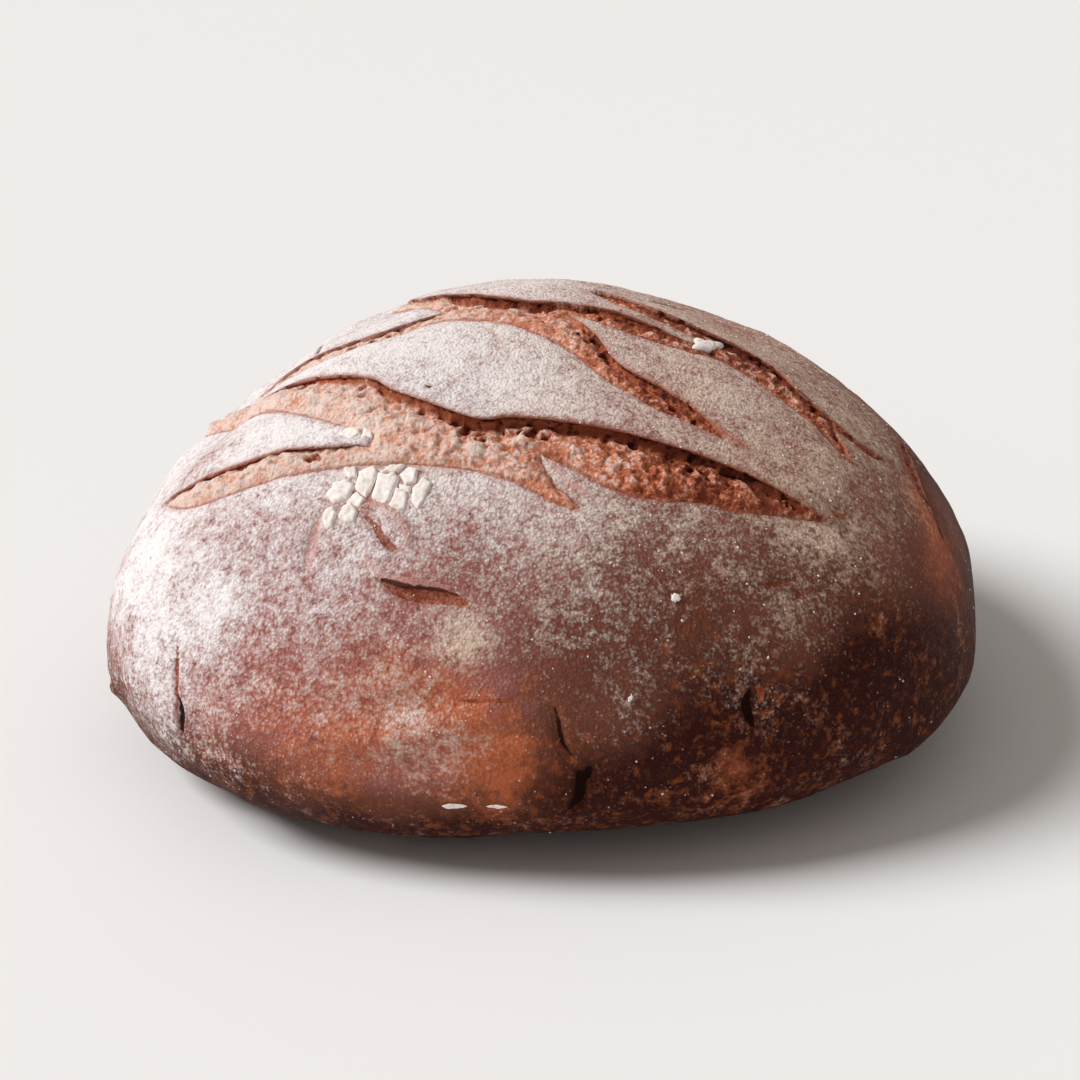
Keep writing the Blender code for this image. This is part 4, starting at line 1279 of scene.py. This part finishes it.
def cakes_piece():
    """Thin plates: rings shrunk from an outline towards its middle, each closed below by a fan.

    The height is the thickness times one minus the ninth power of the share of the way out, so a plate is level
    in its middle and falls steeply at its side.
    """
    shares = np.linspace(0, 1, CAKE_RINGS + 1)[1:]
    all_points, all_faces, start = [], [], 0
    for outline, thickness in CAKES:
        corners = np.array(outline, float)[:, None]
        along = np.linspace(0, 1, SIDE_STEPS, endpoint=False)[:, None]
        sides = corners + along * (np.roll(corners, -1, axis=0) - corners)
        rim_line = square_from_picture(sides.reshape(-1, 2))
        middle = rim_line.mean(axis=0)
        ragged = 1.07 + 0.13 * roughness(body_point(*rim_line.T), 1.3, 32)
        rim_line = middle + ragged[:, None] * (rim_line - middle)
        squares = np.vstack([middle] + [middle + share * (rim_line - middle) for share in shares])
        share_of = np.concatenate([[0], np.repeat(shares, len(rim_line))])
        base = body_point(*squares.T)
        up = body_normal(*squares.T)
        height = waves(base) - dents(base) + skin_marks(base)
        crumbly = (0.30 * roughness(base, 1.9, 31) + 0.15 * roughness(base, 0.9, 33)) * MM
        top = base + (height + crumbly + thickness * MM * (1 - share_of**9))[:, None] * up
        root = base[-len(rim_line):] + (height[-len(rim_line):] - CAKE_ROOT)[:, None] * up[-len(rim_line):]
        points = np.vstack([top, root, root.mean(axis=0)])
        n = len(rim_line)
        around, after = np.arange(n), np.roll(np.arange(n), -1)
        fan = np.stack([np.zeros(n, int), 1 + around, 1 + after], 1)
        bands = [np.stack([1 + k * n + around, 1 + (k + 1) * n + around, 1 + (k + 1) * n + after], 1)
                 for k in range(CAKE_RINGS)]
        bands += [np.stack([1 + k * n + around, 1 + (k + 1) * n + after, 1 + k * n + after], 1)
                  for k in range(CAKE_RINGS)]
        last = 1 + CAKE_RINGS * n
        floor_fan = np.stack([np.full(n, last + n), last + after, last + around], 1)
        faces = np.vstack([fan, *bands, floor_fan])
        fan_normals = np.cross(points[fan[:, 1]] - points[0], points[fan[:, 2]] - points[0])
        if fan_normals.sum(axis=0) @ up[0] < 0:
            faces = faces[:, ::-1]
        all_points.append(points)
        all_faces.append(faces + start)
        start += len(points)
    return make_piece("flour_cakes", np.vstack(all_points), np.vstack(all_faces))


def grains_piece():
    """Flattened eight-faced grains at seeded places on the crust's triangles, more where flour lies."""
    rng = np.random.default_rng(SEED)
    corners = crust_points[crust_faces]
    area = np.linalg.norm(np.cross(corners[:, 1] - corners[:, 0], corners[:, 2] - corners[:, 0]), axis=1)
    shade = in_notch[crust_faces].max(axis=1)
    above_foot = corners[:, :, 2].min(axis=1) > 5 * MM
    wanted = area * (0.06 + flour[crust_faces].mean(axis=1)) * (shade == 0) * above_foot
    chosen = rng.choice(len(crust_faces), GRAINS, p=wanted / wanted.sum())
    weights = rng.dirichlet((1, 1, 1), GRAINS)
    places = np.einsum("ij,ijk->ik", weights, corners[chosen])
    up = np.cross(corners[chosen, 1] - corners[chosen, 0], corners[chosen, 2] - corners[chosen, 0])
    up /= np.linalg.norm(up, axis=1, keepdims=True)
    side = np.cross(up, rng.normal(size=(GRAINS, 3)))
    side /= np.linalg.norm(side, axis=1, keepdims=True)
    third = np.cross(up, side)
    low, high = GRAIN_SIZES
    size = (low + (high - low) * rng.uniform(size=(GRAINS, 1)) ** 2) * MM
    long = size * rng.uniform(0.9, 1.7, (GRAINS, 1))
    tips = [long * side, size * third, -long * side, -size * third, 0.8 * size * up, -0.5 * size * up]
    tips = np.stack(tips, 1)
    points = (places[:, None] + tips).reshape(-1, 3)
    grain = np.array([(0, 1, 4), (1, 2, 4), (2, 3, 4), (3, 0, 4), (1, 0, 5), (2, 1, 5), (3, 2, 5), (0, 3, 5)])
    faces = (grain[None] + 6 * np.arange(GRAINS)[:, None, None]).reshape(-1, 3)
    return make_piece("flour_grains", points, faces)


def dry_flour():
    g = Graph("dry flour")
    uneven = g.noise(1.1, 3, 0.6)
    colour = g.mix(g.step(uneven, 0.35, 0.6), (0.84, 0.74, 0.67), (0.94, 0.89, 0.86))
    bumps = g.bump(uneven, 0.6, 0.35 * MM)
    return g.finish(Base_Color=colour, Roughness=0.95, Specular_IOR_Level=0.2, Normal=bumps)


flour_pieces = [cakes_piece(), grains_piece()]
flour_material = dry_flour()
for piece in flour_pieces:
    piece.data.materials.append(flour_material)
print(len(CAKES), "cakes and", GRAINS, "grains of flour")

# %% [markdown]
# ## Table, light and air
#
# The loaf stands on a plain pale floor. The light is one large soft source from the upper left and a weak
# even fill, so the left flank is bright, the crown clear, and the right flank falls into shade.

# %% Floor and light
FLOOR_RADIUS = 8.0
FLOOR_MIDDLE = 0.5
FLOOR_CORNERS = 96
FLOOR_DROP = 0.4 * MM
KEY_FROM = (-0.72, 0.0, 0.69)
KEY_STRENGTH = 3.0
KEY_SOFTNESS = math.radians(28)
FILL_STRENGTH = 0.33

floor_turns = np.linspace(0, 2 * math.pi, FLOOR_CORNERS, endpoint=False)
rings = np.array([FLOOR_MIDDLE, FLOOR_RADIUS])
level = np.full((2, FLOOR_CORNERS), -FLOOR_DROP)
disc = np.stack([np.outer(rings, np.cos(floor_turns)), np.outer(rings, np.sin(floor_turns)), level], -1)
around = np.arange(FLOOR_CORNERS)
after = np.roll(around, -1)
outer_ring = np.stack([around, around + FLOOR_CORNERS, after + FLOOR_CORNERS, after], 1)
floor_faces = [around.tolist(), *outer_ring.tolist()]
floor_mesh = bpy.data.meshes.new("floor")
floor_mesh.from_pydata(disc.reshape(-1, 3).tolist(), [], floor_faces)
floor = bpy.data.objects.new("floor", floor_mesh)
bpy.context.scene.collection.objects.link(floor)
floor_graph = Graph("pale floor")
floor_mesh.materials.append(floor_graph.finish(Base_Color=(0.88, 0.875, 0.87), Roughness=0.9))

key = bpy.data.objects.new("key", bpy.data.lights.new("key", "SUN"))
key.data.energy = KEY_STRENGTH
key.data.angle = KEY_SOFTNESS
key.rotation_euler = Vector(KEY_FROM).to_track_quat("Z", "Y").to_euler()
bpy.context.scene.collection.objects.link(key)

world = bpy.data.worlds.new("air")
world.use_nodes = True
world.node_tree.nodes["Background"].inputs["Color"].default_value = (1.0, 0.92, 0.86, 1)
world.node_tree.nodes["Background"].inputs["Strength"].default_value = FILL_STRENGTH
bpy.context.scene.world = world
bpy.context.scene.view_settings.view_transform = "Standard"
print("one key light and a fill of", FILL_STRENGTH)

# %% [markdown]
# ## Joining the pieces to the construction model
#
# Every piece moves with the loaf's one body. The fine crust and crumb stand for the plain solid, which
# stays hidden for the physics.

# %% Ride, replace and finish
for piece in [crust, *crumbs.values(), *flour_pieces]:
    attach(piece, "root")
    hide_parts("loaf")
